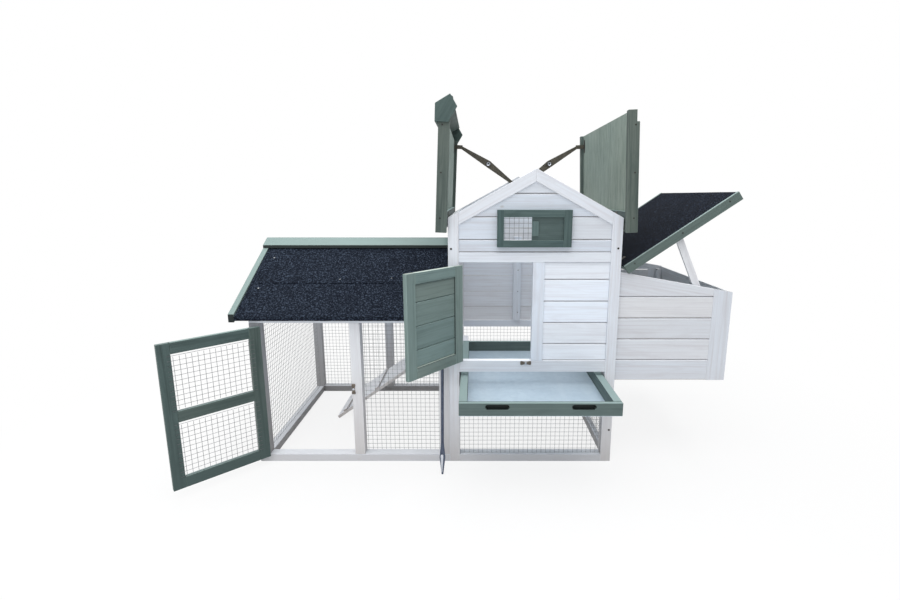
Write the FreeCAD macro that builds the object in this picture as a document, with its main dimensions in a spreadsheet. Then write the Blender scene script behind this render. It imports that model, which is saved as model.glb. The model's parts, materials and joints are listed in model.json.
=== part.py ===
"""Small animal hutch: a gabled house with pull-out tray and nest box, and a wire run beside it.

Frame: X to the right along the front, Y to the rear, Z up, in millimetres. X = 0 is the middle of the house, Y = 0 the
front face of the posts and Z = 0 the ground. Every door, lid and tray stands as photographed, that is open.
Moving pieces are drawn closed around their own pivot and turned open by the placement of their node.
"""

import FreeCAD
import Part

import math
import os
import re

from FreeCAD import Placement, Rotation, Vector

doc = FreeCAD.newDocument("Hutch")
sheet = doc.addObject("Spreadsheet::Sheet", "Sizes")

SIZES = [
    # timber of the house
    ("house_w", 680.0),
    ("cut_over", 1.0),
    ("house_d", 760.0),
    ("post", 42.0),
    ("rail_t", 26.0),
    ("sill_h", 32.0),
    ("floor_low", 401.0),
    ("floor_h", 48.0),
    ("rear_floor_low", 382.0),
    ("rear_floor_h", 38.0),
    ("upper_drop", 173.0),
    ("upper_h", 39.0),
    ("eave_z", 1027.0),
    ("roof_pitch", 28.75),
    ("rake_w", 43.0),
    ("rake_t", 18.0),
    ("stile_left", -6.0),
    ("stile_w", 46.0),
    ("batten_w", 42.0),
    ("batten_t", 20.0),
    # cladding boards with a V joint
    ("board_t", 12.0),
    ("board_cover", 88.5),
    ("board_bevel", 2.2),
    ("recess", 6.0),
    ("rear_first_row", 77.0),
    ("window_board", 48.7),
    ("ridge_flat", 1.0),
    # openings in the cladding
    ("window_left", -123.0),
    ("window_w", 231.0),
    ("pop_y", 396.0),
    ("pop_w", 236.0),
    ("nest_door_y", 110.0),
    # window with sliding shutter
    ("frame_low", 27.0),
    ("frame_top", 28.0),
    ("frame_left", 26.0),
    ("frame_right", 31.0),
    ("frame_proud", 15.0),
    ("frame_face", 9.0),
    ("shutter_t", 6.0),
    ("shutter_w", 126.0),
    ("shutter_tuck", 9.0),
    ("shutter_play", 1.0),
    ("shutter_gap", 0.5),
    ("strip_left", 16.0),
    ("strip_right", 17.0),
    ("shutter_open", 108.5),
    ("grip_w", 25.0),
    ("grip_h", 56.0),
    ("grip_t", 7.0),
    # welded wire
    ("wire", 1.4),
    ("wire_pitch", 19.0),
    ("weld_gap", 0.3),
    ("mesh_lap", 14.0),
    # tray and its runners
    ("tray_top", 385.0),
    ("tray_h", 48.0),
    ("tray_len", 726.0),
    ("tray_out", 260.0),
    ("tray_side_gap", 5.0),
    ("tray_rail", 30.0),
    ("tray_board", 18.0),
    ("sheet_t", 1.0),
    ("lining_t", 4.0),
    ("hole_len", 87.0),
    ("hole_h", 19.0),
    ("hole_apart", 310.0),
    ("hole_drop", 14.5),
    ("runner_gap", 0.5),
    ("runner_h", 17.0),
    ("runner_w", 28.0),
    ("runner_side", 16.0),
    ("tray_sill_h", 22.0),
    # house roof halves
    ("pin_x", 334.5),
    ("pin_drop", 6.0),
    ("roof_seat", 1.0),
    ("roof_t", 20.0),
    ("felt_t", 3.0),
    ("roof_eave", 52.0),
    ("roof_lean", 2.4),
    ("ridge_gap", 1.0),
    ("ridge_shift", 12.0),
    ("roof_front", 30.0),
    ("roof_rear", 6.0),
    ("barge_w", 42.5),
    ("barge_hang", 15.0),
    ("bearer_w", 33.0),
    ("bearer_out", 5.0),
    ("barge_t", 24.0),
    ("barge_gap", 1.0),
    ("notch_h", 10.0),
    ("notch_len", 42.0),
    ("cap_rise", 43.3),
    ("cap_right_w", 62.0),
    ("cap_w", 64.0),
    ("cap_t", 12.0),
    ("cap_batten", 24.0),
    ("cap_batten_in", 4.0),
    ("plate_side", 50.0),
    ("plate_t", 10.0),
    # folding stays
    ("stay_len", 168.0),
    ("stay_w", 14.0),
    ("stay_elbow", 36.0),
    ("stay_t", 2.5),
    ("stay_upper_dip", 30.8),
    ("stay_lower_dip", 37.4),
    ("stay_pin", 5.0),
    ("stay_fit", 0.05),
    ("stay_gap", 0.5),
    ("rivet_d", 18.0),
    ("rivet_h", 2.0),
    ("iron_w", 20.0),
    ("iron_h", 26.0),
    ("iron_t", 3.0),
    ("ear_end", 8.0),
    # doors
    ("door_t", 18.0),
    ("door_gap", 2.0),
    ("door_low_gap", 5.0),
    ("door_top_gap", 8.0),
    ("run_door_free", 10.0),
    ("pin_out", 5.0),
    ("door_stile", 42.0),
    ("door_panel_t", 9.0),
    ("door_panel_in", 3.0),
    ("house_door_open", 131.0),
    ("run_door_open", 137.0),
    ("run_door_rail", 42.0),
    ("leaf_len", 46.0),
    ("leaf_w", 26.0),
    ("leaf_t", 1.6),
    ("barrel_d", 8.0),
    ("barrel_gap", 0.4),
    ("hinge_in", 60.0),
    ("roof_hinge_in", 70.0),
    ("hinge_clear", 2.0),
    ("let_h", 60.0),
    # turn buttons
    ("button_len", 44.0),
    ("button_w", 17.0),
    ("button_waist", 10.0),
    ("button_t", 2.5),
    ("button_off", 1.0),
    ("button_boss", 9.0),
    ("button_tip", 12.0),
    ("button_shoulder", 4.0),
    ("button_neck", 5.0),
    ("boss_h", 1.5),
    ("button_play", 0.3),
    ("house_button_x", -27.5),
    ("house_button_z", 440.0),
    ("run_button_x", -735.0),
    ("run_button_z", 327.0),
    # nest box
    ("nest_x", 801.0),
    ("nest_y", 20.0),
    ("nest_low", 357.0),
    ("nest_rim", 813.0),
    ("nest_end_rim", 730.0),
    ("nest_corner", 76.0),
    ("nest_batten", 25.0),
    ("nest_floor_t", 12.0),
    ("nest_batten_drop", 12.0),
    # nest lid and prop
    ("lid_pin_out", 8.0),
    ("lid_pin_up", 22.0),
    ("lid_seat", 0.5),
    ("lid_t", 16.0),
    ("lid_len", 512.0),
    ("lid_start", 6.0),
    ("lid_barge_w", 35.0),
    ("lid_barge_t", 14.0),
    ("lid_side_gap", 4.0),
    ("lid_barge_up", 2.0),
    ("lid_hinge_in", 64.0),
    ("lid_open", 34.6),
    ("prop_at", 250.0),
    ("prop_drop", 17.0),
    ("prop_w", 28.0),
    ("prop_t", 12.0),
    ("prop_len", 222.0),
    ("prop_lean", 100.6),
    ("prop_side_gap", 2.0),
    ("prop_cheek", 8.0),
    ("prop_play", 0.4),
    ("cheek_end", 6.0),
    ("stop_gap", 0.6),
    ("stop_d", 14.0),
    # run
    ("run_len", 805.0),
    ("run_beam_low", 608.0),
    ("run_beam_h", 31.0),
    ("run_mid", -720.5),
    ("run_pitch", 32.2),
    ("run_roof_t", 12.0),
    ("run_front_over", 25.0),
    ("run_left_over", 67.0),
    ("run_wall_gap", 1.0),
    ("run_roof_seat", 0.7),
    ("run_barge_w", 28.0),
    ("run_barge_t", 24.0),
    ("run_barge_up", 10.0),
    ("run_rafter_h", 30.0),
    ("run_rafter_t", 26.0),
    ("felt_lap", 30.0),
    ("felt_lower", 227.0),
    ("run_cap_w", 60.0),
    ("run_cap_t", 12.0),
    # ramp
    ("ramp_foot_x", -930.0),
    ("ramp_y", 386.0),
    ("ramp_w", 256.0),
    ("ramp_t", 14.0),
    ("ramp_top_z", 420.0),
    ("cleat_w", 22.0),
    ("cleat_h", 8.0),
    ("cleat_step", 200.0),
    ("cleat_end", 42.0),
    ("ramp_gap", 1.0),
    # tray scraper
    ("scraper_x", -366.0),
    ("scraper_foot", 95.0),
    ("scraper_len", 540.0),
    ("scraper_d", 12.0),
    ("scraper_blade", 128.0),
    ("scraper_shoulder", 70.0),
    ("ground_gap", 1.0),
    ("scraper_w", 24.0),
    ("scraper_tip", 7.0),
    ("scraper_t", 3.0),
    ("scraper_over", 40.0),
    ("clip_t", 6.0),
    ("clip_play", 0.8),
]

DERIVED = [
    ("half_w", "house_w / 2"),
    ("slope", "tan(roof_pitch)"),
    ("apex", "eave_z + half_w * slope"),
    ("rake_v", "rake_w / cos(roof_pitch)"),
    ("bay", "half_w - post"),
    ("back", "house_d - post"),
    ("floor_top", "floor_low + floor_h"),
    ("rear_floor_top", "rear_floor_low + rear_floor_h"),
    ("upper_low", "eave_z - upper_drop"),
    ("upper_top", "upper_low + upper_h"),
    ("stile_right", "stile_left + stile_w"),
    ("win_right", "window_left + window_w"),
    ("win_low", "upper_top + window_board"),
    ("win_top", "win_low + board_cover"),
    ("board_y", "recess + board_t"),
    ("under", "pin_drop + roof_seat"),
    ("pin_z", "apex - pin_x * slope - pin_drop / cos(roof_pitch)"),
    ("reach", "(pin_x + under * sin(roof_pitch)) / cos(roof_pitch) - ridge_gap"),
    ("roof_back", "house_d + roof_rear"),
    ("cap_off", "(roof_seat + cap_rise) / cos(roof_pitch)"),
    ("cap_v", "cap_t / cos(roof_pitch)"),
    ("cap_x", "cap_w * cos(roof_pitch)"),
    ("cap_right_x", "cap_right_w * cos(roof_pitch)"),
    ("roof_swing", "90 - roof_lean - roof_pitch"),
    # the upper pin of a stay lies where both links fold flat along the closed roof
    ("stay_run", "stay_len * (cos(stay_upper_dip + roof_pitch) + cos(stay_lower_dip + roof_pitch))"),
    ("stay_rise", "stay_len * (sin(stay_upper_dip + roof_pitch) + sin(stay_lower_dip + roof_pitch))"),
    ("stay_at", "stay_run / 2 + stay_rise / 2 / tan(roof_swing / 2)"),
    ("stay_drop", "under + stay_rise / 2 - stay_run / 2 / tan(roof_swing / 2)"),
    ("tray_low", "tray_top - tray_h"),
    ("tray_half", "bay - tray_side_gap"),
    ("run_x", "-half_w - run_len"),
    ("run_slope", "tan(run_pitch)"),
    ("run_bay", "run_mid - post / 2 - run_x - post"),
    ("run_door_w", "run_bay - door_gap - run_door_free"),
    ("run_mid_y", "house_d / 2"),
    ("run_ridge_under", "run_beam_low + run_beam_h + run_roof_seat + run_mid_y * run_slope"),
    ("nest_d", "house_d - 2 * nest_y"),
    ("nest_door_w", "house_d - 2 * nest_door_y"),
    ("nest_back", "nest_y + nest_d"),
    ("nest_slope", "(nest_rim - nest_end_rim) / (nest_x - half_w)"),
    ("nest_fall", "atan(nest_slope)"),
    ("lid_pin_x", "half_w + lid_pin_out"),
    ("lid_pin_z", "nest_rim - lid_pin_out * nest_slope + lid_pin_up / cos(nest_fall)"),
    ("house_door_w", "stile_left + bay - 2 * door_gap"),
    ("clip_z", "scraper_len - scraper_over"),
    ("ramp_top_x", "-half_w"),
    ("ramp_angle", "atan(ramp_top_z / (ramp_top_x - ramp_foot_x))"),
]

row = 0
for name, value in SIZES + DERIVED:
    row += 1
    sheet.set(f"A{row}", name)
    sheet.set(f"B{row}", f"={value}" if isinstance(value, str) else str(value))
    sheet.setAlias(f"B{row}", name)
doc.recompute()

NAMES = {name for name, value in SIZES + DERIVED}
NODES = []


def tie(text):
    """An expression in the sheet's names, ready for setExpression."""
    return re.sub(r"\b[a-z]\w*\b", lambda m: ("Sizes." if m[0] in NAMES else "") + m[0], str(text))


def val(name):
    return float(sheet.get(name))


def put(piece, at):
    for axis, text in zip("xyz", at):
        piece.setExpression("Placement.Base." + axis, tie(text))
    return piece


def bar(size, at):
    """A square-sawn piece from its three lengths and its lowest corner."""
    piece = doc.addObject("Part::Box", "bar")
    for prop, text in zip(("Length", "Width", "Height"), size):
        piece.setExpression(prop, tie(text))
    return put(piece, at)


TURNS = {
    # what the tapering side and the run of the taper lie along, and the sign of the depth
    "x up z": (Rotation(Vector(1, 0, 0), 90), -1),
    "z along x": (Rotation(Vector(1, 1, 1), 240), 1),
    "z along y": (Rotation(Vector(0, 1, 0), -90), -1),
    "y up z": (Rotation(Vector(1, 1, 1), 120), 1),
}


def taper(kind, near, far, deep):
    """A board whose side changes from (place, low, high) near to the same far, with a constant depth."""
    piece = doc.addObject("Part::Wedge", "taper")
    turn, sign = TURNS[kind]
    low, high = deep if sign > 0 else (f"-({deep[1]})", f"-({deep[0]})")
    values = {
        "Ymin": near[0],
        "Xmin": near[1],
        "Xmax": near[2],
        "Ymax": far[0],
        "X2min": far[1],
        "X2max": far[2],
        "Zmin": low,
        "Zmax": high,
        "Z2min": low,
        "Z2max": high,
    }
    for prop in ("Xmin", "X2min", "Ymin", "Zmin", "Z2min"):
        setattr(piece, prop, -5000.0)
    for prop in ("Xmax", "X2max", "Ymax", "Zmax", "Z2max"):
        setattr(piece, prop, 5000.0)
    for prop, text in values.items():
        piece.setExpression(prop, tie(text))
    piece.Placement = Placement(Vector(0, 0, 0), turn)
    return piece


def rod(diameter, length, at, axis):
    piece = doc.addObject("Part::Cylinder", "rod")
    piece.setExpression("Radius", tie(f"({diameter}) / 2"))
    piece.setExpression("Height", tie(length))
    turn = {"z": Rotation(), "y": Rotation(Vector(1, 0, 0), -90), "x": Rotation(Vector(0, 1, 0), 90)}[axis]
    piece.Placement = Placement(Vector(0, 0, 0), turn)
    return put(piece, at)


def fuse(pieces):
    piece = doc.addObject("Part::MultiFuse", "fused")
    piece.Shapes = pieces
    piece.Refine = True
    return piece


def cut(base, tool):
    piece = doc.addObject("Part::Cut", "cut")
    piece.Base = base
    piece.Tool = tool
    piece.Refine = True
    return piece


def common(base, tool):
    piece = doc.addObject("Part::Common", "common")
    piece.Base = base
    piece.Tool = tool
    return piece


def group(pieces):
    piece = doc.addObject("Part::Compound", "group")
    piece.Links = pieces
    return piece


def node(label, pieces, at=None, turn=None):
    """One file of the part: its solids and, for a moving one, its pivot with an axis and an angle."""
    piece = group(pieces)
    piece.Label = label
    if at:
        axis, angle = turn or ("0; 0; 1", "0")
        place = "; ".join(tie(text) for text in at)
        piece.setExpression("Placement", f"placement(vector({place}); rotation(vector({axis}); {tie(angle)}))")
    NODES.append(piece)
    return piece


def plank(face, back, along, low, high, way):
    """One cladding board: bevelled edges on its face, full height at its back."""
    front = (face, f"{low} + board_bevel", f"{high} - board_bevel")
    rear = (back, low, high)
    forward = val_of(face) < val_of(back)
    return taper(way, *((front, rear) if forward else (rear, front)), along)


def val_of(text):
    """The present value of an expression in the sheet's names."""
    cell = "D1"
    sheet.set(cell, "=" + str(text))
    sheet.recompute()
    number = float(sheet.get(cell))
    sheet.clear(cell)
    return number


def rows(low, high, first):
    """Heights of the joints between boards from low to high, the first board cut to its own height."""
    count = math.ceil((val_of(high) - val_of(low) - val_of(first)) / val("board_cover") - 0.02)
    joints = [low] + [f"{low} + {first} + {i} * board_cover" for i in range(count)] + [high]
    return list(zip(joints, joints[1:]))


def comb(across, up, pitch, wire, depth, flat):
    """The wires of one direction, joined by the selvedge wire at their end."""
    count = max(1, round(across / pitch))
    step = (across - wire) / count
    points = [(0, 0), (0, up), (across, up), (across, 0)]
    for i in range(count, 0, -1):
        points += [(i * step, 0), (i * step, up - wire), ((i - 1) * step + wire, up - wire)]
        points += [((i - 1) * step + wire, 0)]
    points = points[:-1] + [(wire, 0), (0, 0)]
    corners = [Vector(a, depth, b) if flat else Vector(b, depth, a) for a, b in points]
    return Part.Face(Part.makePolygon(corners)).extrude(Vector(0, wire, 0))


def net(across, up, at, turn="0"):
    """A piece of welded wire: uprights on the timber, cross wires behind them."""
    wide, high = val_of(across), val_of(up)
    wire, pitch = val("wire"), val("wire_pitch")
    pieces = []
    for flat, depth in ((True, 0.0), (False, wire + val("weld_gap"))):
        spans = (wide, high) if flat else (high, wide)
        piece = doc.addObject("Part::Feature", "wires")
        piece.Shape = comb(*spans, pitch, wire, depth, flat)
        place = "; ".join(tie(text) for text in at)
        piece.setExpression("Placement", f"placement(vector({place}); rotation(vector(0; 0; 1); {tie(turn)}))")
        pieces.append(piece)
    return pieces


def outline(points, thick, at):
    """A flat piece standing in the XZ plane from corner points given in the sheet's names."""
    corners = [Vector(val_of(x), 0, val_of(z)) for x, z in points]
    piece = doc.addObject("Part::Feature", "flat")
    piece.Shape = Part.Face(Part.makePolygon(corners + corners[:1])).extrude(Vector(0, val_of(thick), 0))
    return put(piece, at)


# House frame
posts = []
for side in ("-", ""):
    ends = (("-half_w", "0", "eave_z"), ("-bay", "0", "eave_z + post * slope"))
    if side == "":
        ends = (("bay", "0", "eave_z + post * slope"), ("half_w", "0", "eave_z"))
    posts.append(taper("z along x", *ends, ("0", "post")))
    posts.append(taper("z along x", *ends, ("back", "house_d")))
node("house_posts", posts)

rails = [
    bar(("2 * bay", "post", "sill_h"), ("-bay", "0", "0")),
    bar(("2 * bay", "rail_t", "tray_sill_h"), ("-bay", "0", "tray_low - sheet_t - runner_gap - tray_sill_h")),
    bar(("2 * bay", "rail_t", "floor_h"), ("-bay", "0", "floor_low")),
    bar(("2 * bay", "rail_t", "upper_h"), ("-bay", "0", "upper_low")),
    bar(("stile_w", "rail_t", "upper_low - floor_top"), ("stile_left", "0", "floor_top")),
    bar(("2 * bay", "post", "sill_h"), ("-bay", "back", "0")),
    bar(("2 * bay", "rail_t", "rear_floor_h"), ("-bay", "house_d - rail_t", "rear_floor_low")),
    bar(
        ("batten_w", "batten_t", "upper_top - rear_floor_top"),
        ("-batten_w / 2", "house_d - board_y - batten_t", "rear_floor_top"),
    ),
]
roof_hinge_y = ("rake_t + roof_hinge_in", "house_d - rake_t - roof_hinge_in - leaf_len")
for side in (-1, 1):
    x_rail = "-half_w" if side < 0 else "half_w - rail_t"
    rails.append(bar(("rail_t", "back - post", "sill_h"), (x_rail, "post", "0")))
    rails.append(bar(("rail_t", "back - post", "floor_h"), (x_rail, "post", "floor_low")))
    plate = [
        ("half_w", "eave_z - rake_v", "eave_z"),
        ("bay", "eave_z - rake_v + post * slope", "eave_z + post * slope"),
    ]
    if side < 0:
        plate = [("-" + plate[0][0],) + plate[0][1:], ("-" + plate[1][0],) + plate[1][1:]]
    else:
        plate.reverse()
    lets = []
    for y_at in roof_hinge_y:
        deep = (f"{y_at} - hinge_clear", f"{y_at} + leaf_len + barrel_gap + hinge_clear")
        reach_in = "(leaf_w + half_w - pin_x + hinge_clear)"
        skin = "(leaf_t + hinge_clear)"
        ends = [
            ("half_w + cut_over", f"eave_z - cut_over * slope - {skin}", "eave_z + let_h"),
            (f"half_w - {reach_in}", f"eave_z + {reach_in} * slope - {skin}", "eave_z + let_h"),
        ]
        low = "pin_z - barrel_d / 2 - hinge_clear"
        width = "(half_w - pin_x + cut_over + barrel_d / 2 + hinge_clear)"
        x_low = "-half_w - cut_over" if side < 0 else f"half_w + cut_over - {width}"
        if side < 0:
            ends = [(f"-({end[0]})",) + end[1:] for end in ends]
        else:
            ends.reverse()
        seat = bar((width, f"{deep[1]} - ({deep[0]})", "let_h"), (x_low, deep[0], low))
        lets.append(fuse([taper("z along x", *ends, deep), seat]))
    rails.append(cut(taper("z along x", *plate, ("post", "back")), group(lets)))
node("house_rails", rails)

rakes = []
for y_low, y_high in (("0", "rake_t"), ("house_d - rake_t", "house_d")):
    top = ("0", "apex - rake_v", "apex")
    foot = ("eave_z - rake_v + post * slope", "eave_z + post * slope")
    rakes.append(taper("z along x", ("-bay", *foot), top, (y_low, y_high)))
    rakes.append(taper("z along x", top, ("bay", *foot), (y_low, y_high)))
node("house_rakes", rakes)

# House cladding
first = "(upper_low - floor_top - 3 * board_cover) / 2"
boards = []
for low, high in rows("floor_top", "upper_low", first):
    boards.append(plank("recess", "board_y", ("stile_right", "bay"), low, high, "z along y"))
node("house_front_boards", boards)

boards = []
above = "win_top + board_cover"
for low, high in (("upper_top", "win_low"), ("win_top", above), (above, "apex")):
    boards.append(plank("recess", "board_y", ("-bay", "bay"), low, high, "z along y"))
boards.append(plank("recess", "board_y", ("-bay", "window_left"), "win_low", "win_top", "z along y"))
boards.append(plank("recess", "board_y", ("win_right", "bay"), "win_low", "win_top", "z along y"))


def gable_shape(low):
    """The space inside the posts and rakes from a level up, through the whole depth of the house."""
    square = "eave_z - rake_v + post * slope"
    peak = ("apex - rake_v - ridge_flat * slope", "-ridge_flat", "ridge_flat")
    body = bar(("2 * bay", "house_d", f"{square} - {low}"), ("-bay", "0", low))
    return fuse([body, taper("x up z", (square, "-bay", "bay"), peak, ("0", "house_d"))])


node("house_gable_boards", [common(group(boards), gable_shape("upper_top"))])

boards = []
rear_face, rear_back = "house_d - recess", "house_d - board_y"
for low, high in rows("rear_floor_top", "apex", "rear_first_row"):
    boards.append(plank(rear_face, rear_back, ("-bay", "bay"), low, high, "z along y"))
node("house_rear_boards", [common(group(boards), gable_shape("rear_floor_top"))])


def side_wall(side, gap_y, gap_w):
    """Boards of a side wall, three rows of them parted round an opening."""
    face, inner = ("half_w - recess", "half_w - board_y")
    if side < 0:
        face, inner = ("-half_w + recess", "-half_w + board_y")
    pieces = []
    walls = rows("floor_top", "eave_z - rake_v + recess * slope", "board_cover")
    for i, (low, high) in enumerate(walls):
        spans = [("post", "back")] if i > 2 else [("post", gap_y), (f"{gap_y} + {gap_w}", "back")]
        pieces += [plank(face, inner, span, low, high, "z along x") for span in spans]
    return pieces


node("house_left_boards", side_wall(-1, "pop_y", "pop_w"))
node("house_right_boards", side_wall(1, "nest_door_y", "nest_door_w"))

# Runners of the tray
runner_z = "tray_low - sheet_t - runner_gap - runner_h"
runners = []
for side in (-1, 1):
    x_side = "-bay - runner_side" if side < 0 else "bay"
    x_ledge = "-bay" if side < 0 else "bay - runner_w"
    runners.append(bar(("runner_side", "back - post", f"floor_low - ({runner_z})"), (x_side, "post", runner_z)))
    runners.append(bar(("runner_w", "back - rail_t", "runner_h"), (x_ledge, "rail_t", runner_z)))
node("tray_runners", runners)

# Window
face_y, seat_y = "-frame_proud", "frame_face - frame_proud"
x_0, x_1 = "window_left - frame_left", "win_right + frame_right"
z_0, z_1 = "win_low - frame_low", "win_top + frame_top"
frame = [
    bar(("window_w", "frame_face", "frame_low"), ("window_left", face_y, z_0)),
    bar(("window_w", "frame_face", "frame_top"), ("window_left", face_y, "win_top")),
    bar(("frame_left", "frame_face", f"{z_1} - ({z_0})"), (x_0, face_y, z_0)),
    bar(("frame_right", "frame_face", f"{z_1} - ({z_0})"), ("win_right", face_y, z_0)),
]
packing = "frame_proud - frame_face + recess"
slot = "(shutter_tuck + shutter_play)"
frame.append(bar((f"{x_1} - ({x_0})", packing, f"frame_low - {slot}"), (x_0, seat_y, z_0)))
frame.append(bar((f"{x_1} - ({x_0})", packing, f"frame_top - {slot}"), (x_0, seat_y, f"win_top + {slot}")))
tall = f"board_cover + 2 * {slot}"
frame.append(bar(("strip_left", packing, tall), (x_0, seat_y, f"win_low - {slot}")))
frame.append(bar(("strip_right", packing, tall), (f"{x_1} - strip_right", seat_y, f"win_low - {slot}")))
node("window_frame", frame)
corner = ("window_left - mesh_lap", "board_y", "win_low - mesh_lap")
node("window_mesh", net("window_w + 2 * mesh_lap", "board_cover + 2 * mesh_lap", corner))
shutter = [
    bar(
        ("shutter_w", "shutter_t", "board_cover + 2 * shutter_tuck"),
        ("window_left + shutter_open", f"{seat_y} + shutter_gap", "win_low - shutter_tuck"),
    ),
    bar(
        ("grip_w", "grip_t", "grip_h"),
        ("window_left + shutter_open", f"{seat_y} + shutter_gap - grip_t", "(win_low + win_top - grip_h) / 2"),
    ),
]
node("window_shutter", shutter)

# Welded wire under the house, on the inside of the timber
sill_top = "tray_low - sheet_t - runner_gap - tray_sill_h"
wires = net("2 * bay", f"{sill_top} - sill_h", ("-bay", "rail_t / 2", "sill_h"))
wires += net("2 * bay", "rear_floor_low - sill_h", ("-bay", "house_d - rail_t / 2", "sill_h"))
wires += net("back - post", f"{runner_z} - sill_h", ("half_w - rail_t / 2", "post", "sill_h"), "90")
node("house_mesh", wires)

# Tray
board_len = "2 * tray_half"
slots = []
for sign in ("-", ""):
    x_mid = f"{sign}hole_apart / 2"
    through = "tray_board - lining_t + 2 * cut_over"
    place = (f"{x_mid} - (hole_len - hole_h) / 2", "-cut_over", "tray_h - hole_drop - hole_h / 2")
    slots.append(bar(("hole_len - hole_h", through, "hole_h"), place))
    for end in ("-", "+"):
        place = (f"{x_mid} {end} (hole_len - hole_h) / 2", "-cut_over", "tray_h - hole_drop")
        slots.append(rod("hole_h", through, place, "y"))
front = bar((board_len, "tray_board - lining_t", "tray_h"), ("-tray_half", "0", "0"))
tray = [
    cut(front, fuse(slots)),
    bar((board_len, "lining_t", "tray_h"), ("-tray_half", "tray_board - lining_t", "0")),
    bar((board_len, "tray_board", "tray_h"), ("-tray_half", "tray_len - tray_board", "0")),
    bar(("tray_rail", "tray_len - 2 * tray_board", "tray_h"), ("-tray_half", "tray_board", "0")),
    bar(("tray_rail", "tray_len - 2 * tray_board", "tray_h"), ("tray_half - tray_rail", "tray_board", "0")),
]
tray_at = ("0", "-tray_out", "tray_low")
node("tray_frame", tray, tray_at)
node("tray_sheet", [bar((board_len, "tray_len", "sheet_t"), ("-tray_half", "0", "-sheet_t"))], tray_at)


# House roof, each half drawn flat with its length along X from the pivot
def roof_half(side):
    word = "left" if side < 0 else "right"
    pivot = (f"{'-' if side < 0 else ''}pin_x", "0", "pin_z")
    turn = ("0; 1; 0", f"{'-' if side < 0 else ''}(90 - roof_lean)")
    panel_len = "roof_eave + reach - ridge_shift" if side < 0 else "roof_eave + reach + ridge_shift"
    start = "-roof_eave" if side < 0 else "-reach - ridge_shift"
    deep = "roof_back + roof_front - 2 * barge_t"
    front_y = "barge_t - roof_front"
    bearer_x = "-bearer_out" if side < 0 else "bearer_out - bearer_w"
    panel = [
        bar((panel_len, deep, "roof_t"), (start, front_y, "under + barge_hang")),
        bar(("bearer_w", deep, "barge_hang"), (bearer_x, front_y, "under")),
    ]
    node(f"{word}_roof_panel", panel, pivot, turn)
    felt_len = panel_len if side < 0 else "roof_eave + reach - cap_w - barge_gap"
    felt_at = start if side < 0 else "-reach + cap_w + barge_gap"
    felt = bar((felt_len, deep, "felt_t"), (felt_at, front_y, "under + barge_hang + roof_t"))
    node(f"{word}_roof_felt", [felt], pivot, turn)
    set_back = "0" if side < 0 else "barge_gap"
    barges = []
    for y_at in (f"{set_back} - roof_front", "roof_back - barge_t"):
        thick = f"barge_t - {set_back}"
        board = bar((panel_len, thick, "barge_w"), (start, y_at, "under"))
        if side > 0:
            place = ("-reach - ridge_shift - cut_over", f"{y_at} - cut_over", "under + barge_w - notch_h")
            size = ("notch_len + cut_over", "barge_t + 2 * cut_over", "notch_h + cut_over")
            board = cut(board, bar(size, place))
        barges.append(board)
    node(f"{word}_roof_barges", barges, pivot, turn)
    return pivot, turn


left_pivot, left_turn = roof_half(-1)
right_pivot, right_turn = roof_half(1)

# Ridge cap and its end plates, drawn closed from the left pivot and swung open with the left half
swing = ("0; 1; 0", "-roof_swing")
ridge_x, ridge_z = "pin_x", "apex - pin_z + cap_off"
cap_y = ("-roof_front", "roof_back")
cap_end = f"{ridge_z} - cap_x * slope"
cap_far = f"{ridge_z} - cap_right_x * slope"
cap = [
    taper(
        "z along x",
        (f"{ridge_x} - cap_x", cap_end, f"{cap_end} + cap_v"),
        (ridge_x, ridge_z, f"{ridge_z} + cap_v"),
        cap_y,
    ),
    taper(
        "z along x",
        (ridge_x, ridge_z, f"{ridge_z} + cap_v"),
        (f"{ridge_x} + cap_right_x", cap_far, f"{cap_far} + cap_v"),
        cap_y,
    ),
]
felt_off = "(roof_seat + barge_hang + roof_t + felt_t) / cos(roof_pitch)"
batten_far, batten_near = "cap_x - cap_batten_in", "cap_x - cap_batten_in - cap_batten"
cap.append(
    taper(
        "z along x",
        (
            f"{ridge_x} - ({batten_far})",
            f"apex - pin_z + {felt_off} - ({batten_far}) * slope",
            f"{ridge_z} - ({batten_far}) * slope",
        ),
        (
            f"{ridge_x} - ({batten_near})",
            f"apex - pin_z + {felt_off} - ({batten_near}) * slope",
            f"{ridge_z} - ({batten_near}) * slope",
        ),
        ("barge_t - roof_front", "roof_back - barge_t"),
    )
)
node("ridge_cap", cap, left_pivot, swing)
peak = f"{ridge_z} + cap_v"
shoulder_x, shoulder_z = "cap_w * cos(roof_pitch)", f"{peak} - cap_w * sin(roof_pitch)"
foot_x, foot_z = f"{shoulder_x} - plate_side * sin(roof_pitch)", f"{shoulder_z} - plate_side * cos(roof_pitch)"
hexagon = [
    (ridge_x, peak),
    (f"{ridge_x} + {shoulder_x}", shoulder_z),
    (f"{ridge_x} + {foot_x}", foot_z),
    (f"{ridge_x} - ({foot_x})", foot_z),
    (f"{ridge_x} - {shoulder_x}", shoulder_z),
]
plates = [outline(hexagon, "plate_t", ("0", y_at, "0")) for y_at in ("-roof_front - plate_t", "roof_back")]
node("apex_plates", plates, left_pivot, swing)

# Folding stays at the rear gable: an upper link on each roof half, a lower link on the rake
stay_y = "house_d - rake_t - iron_t - stay_t - stay_gap"


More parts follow.
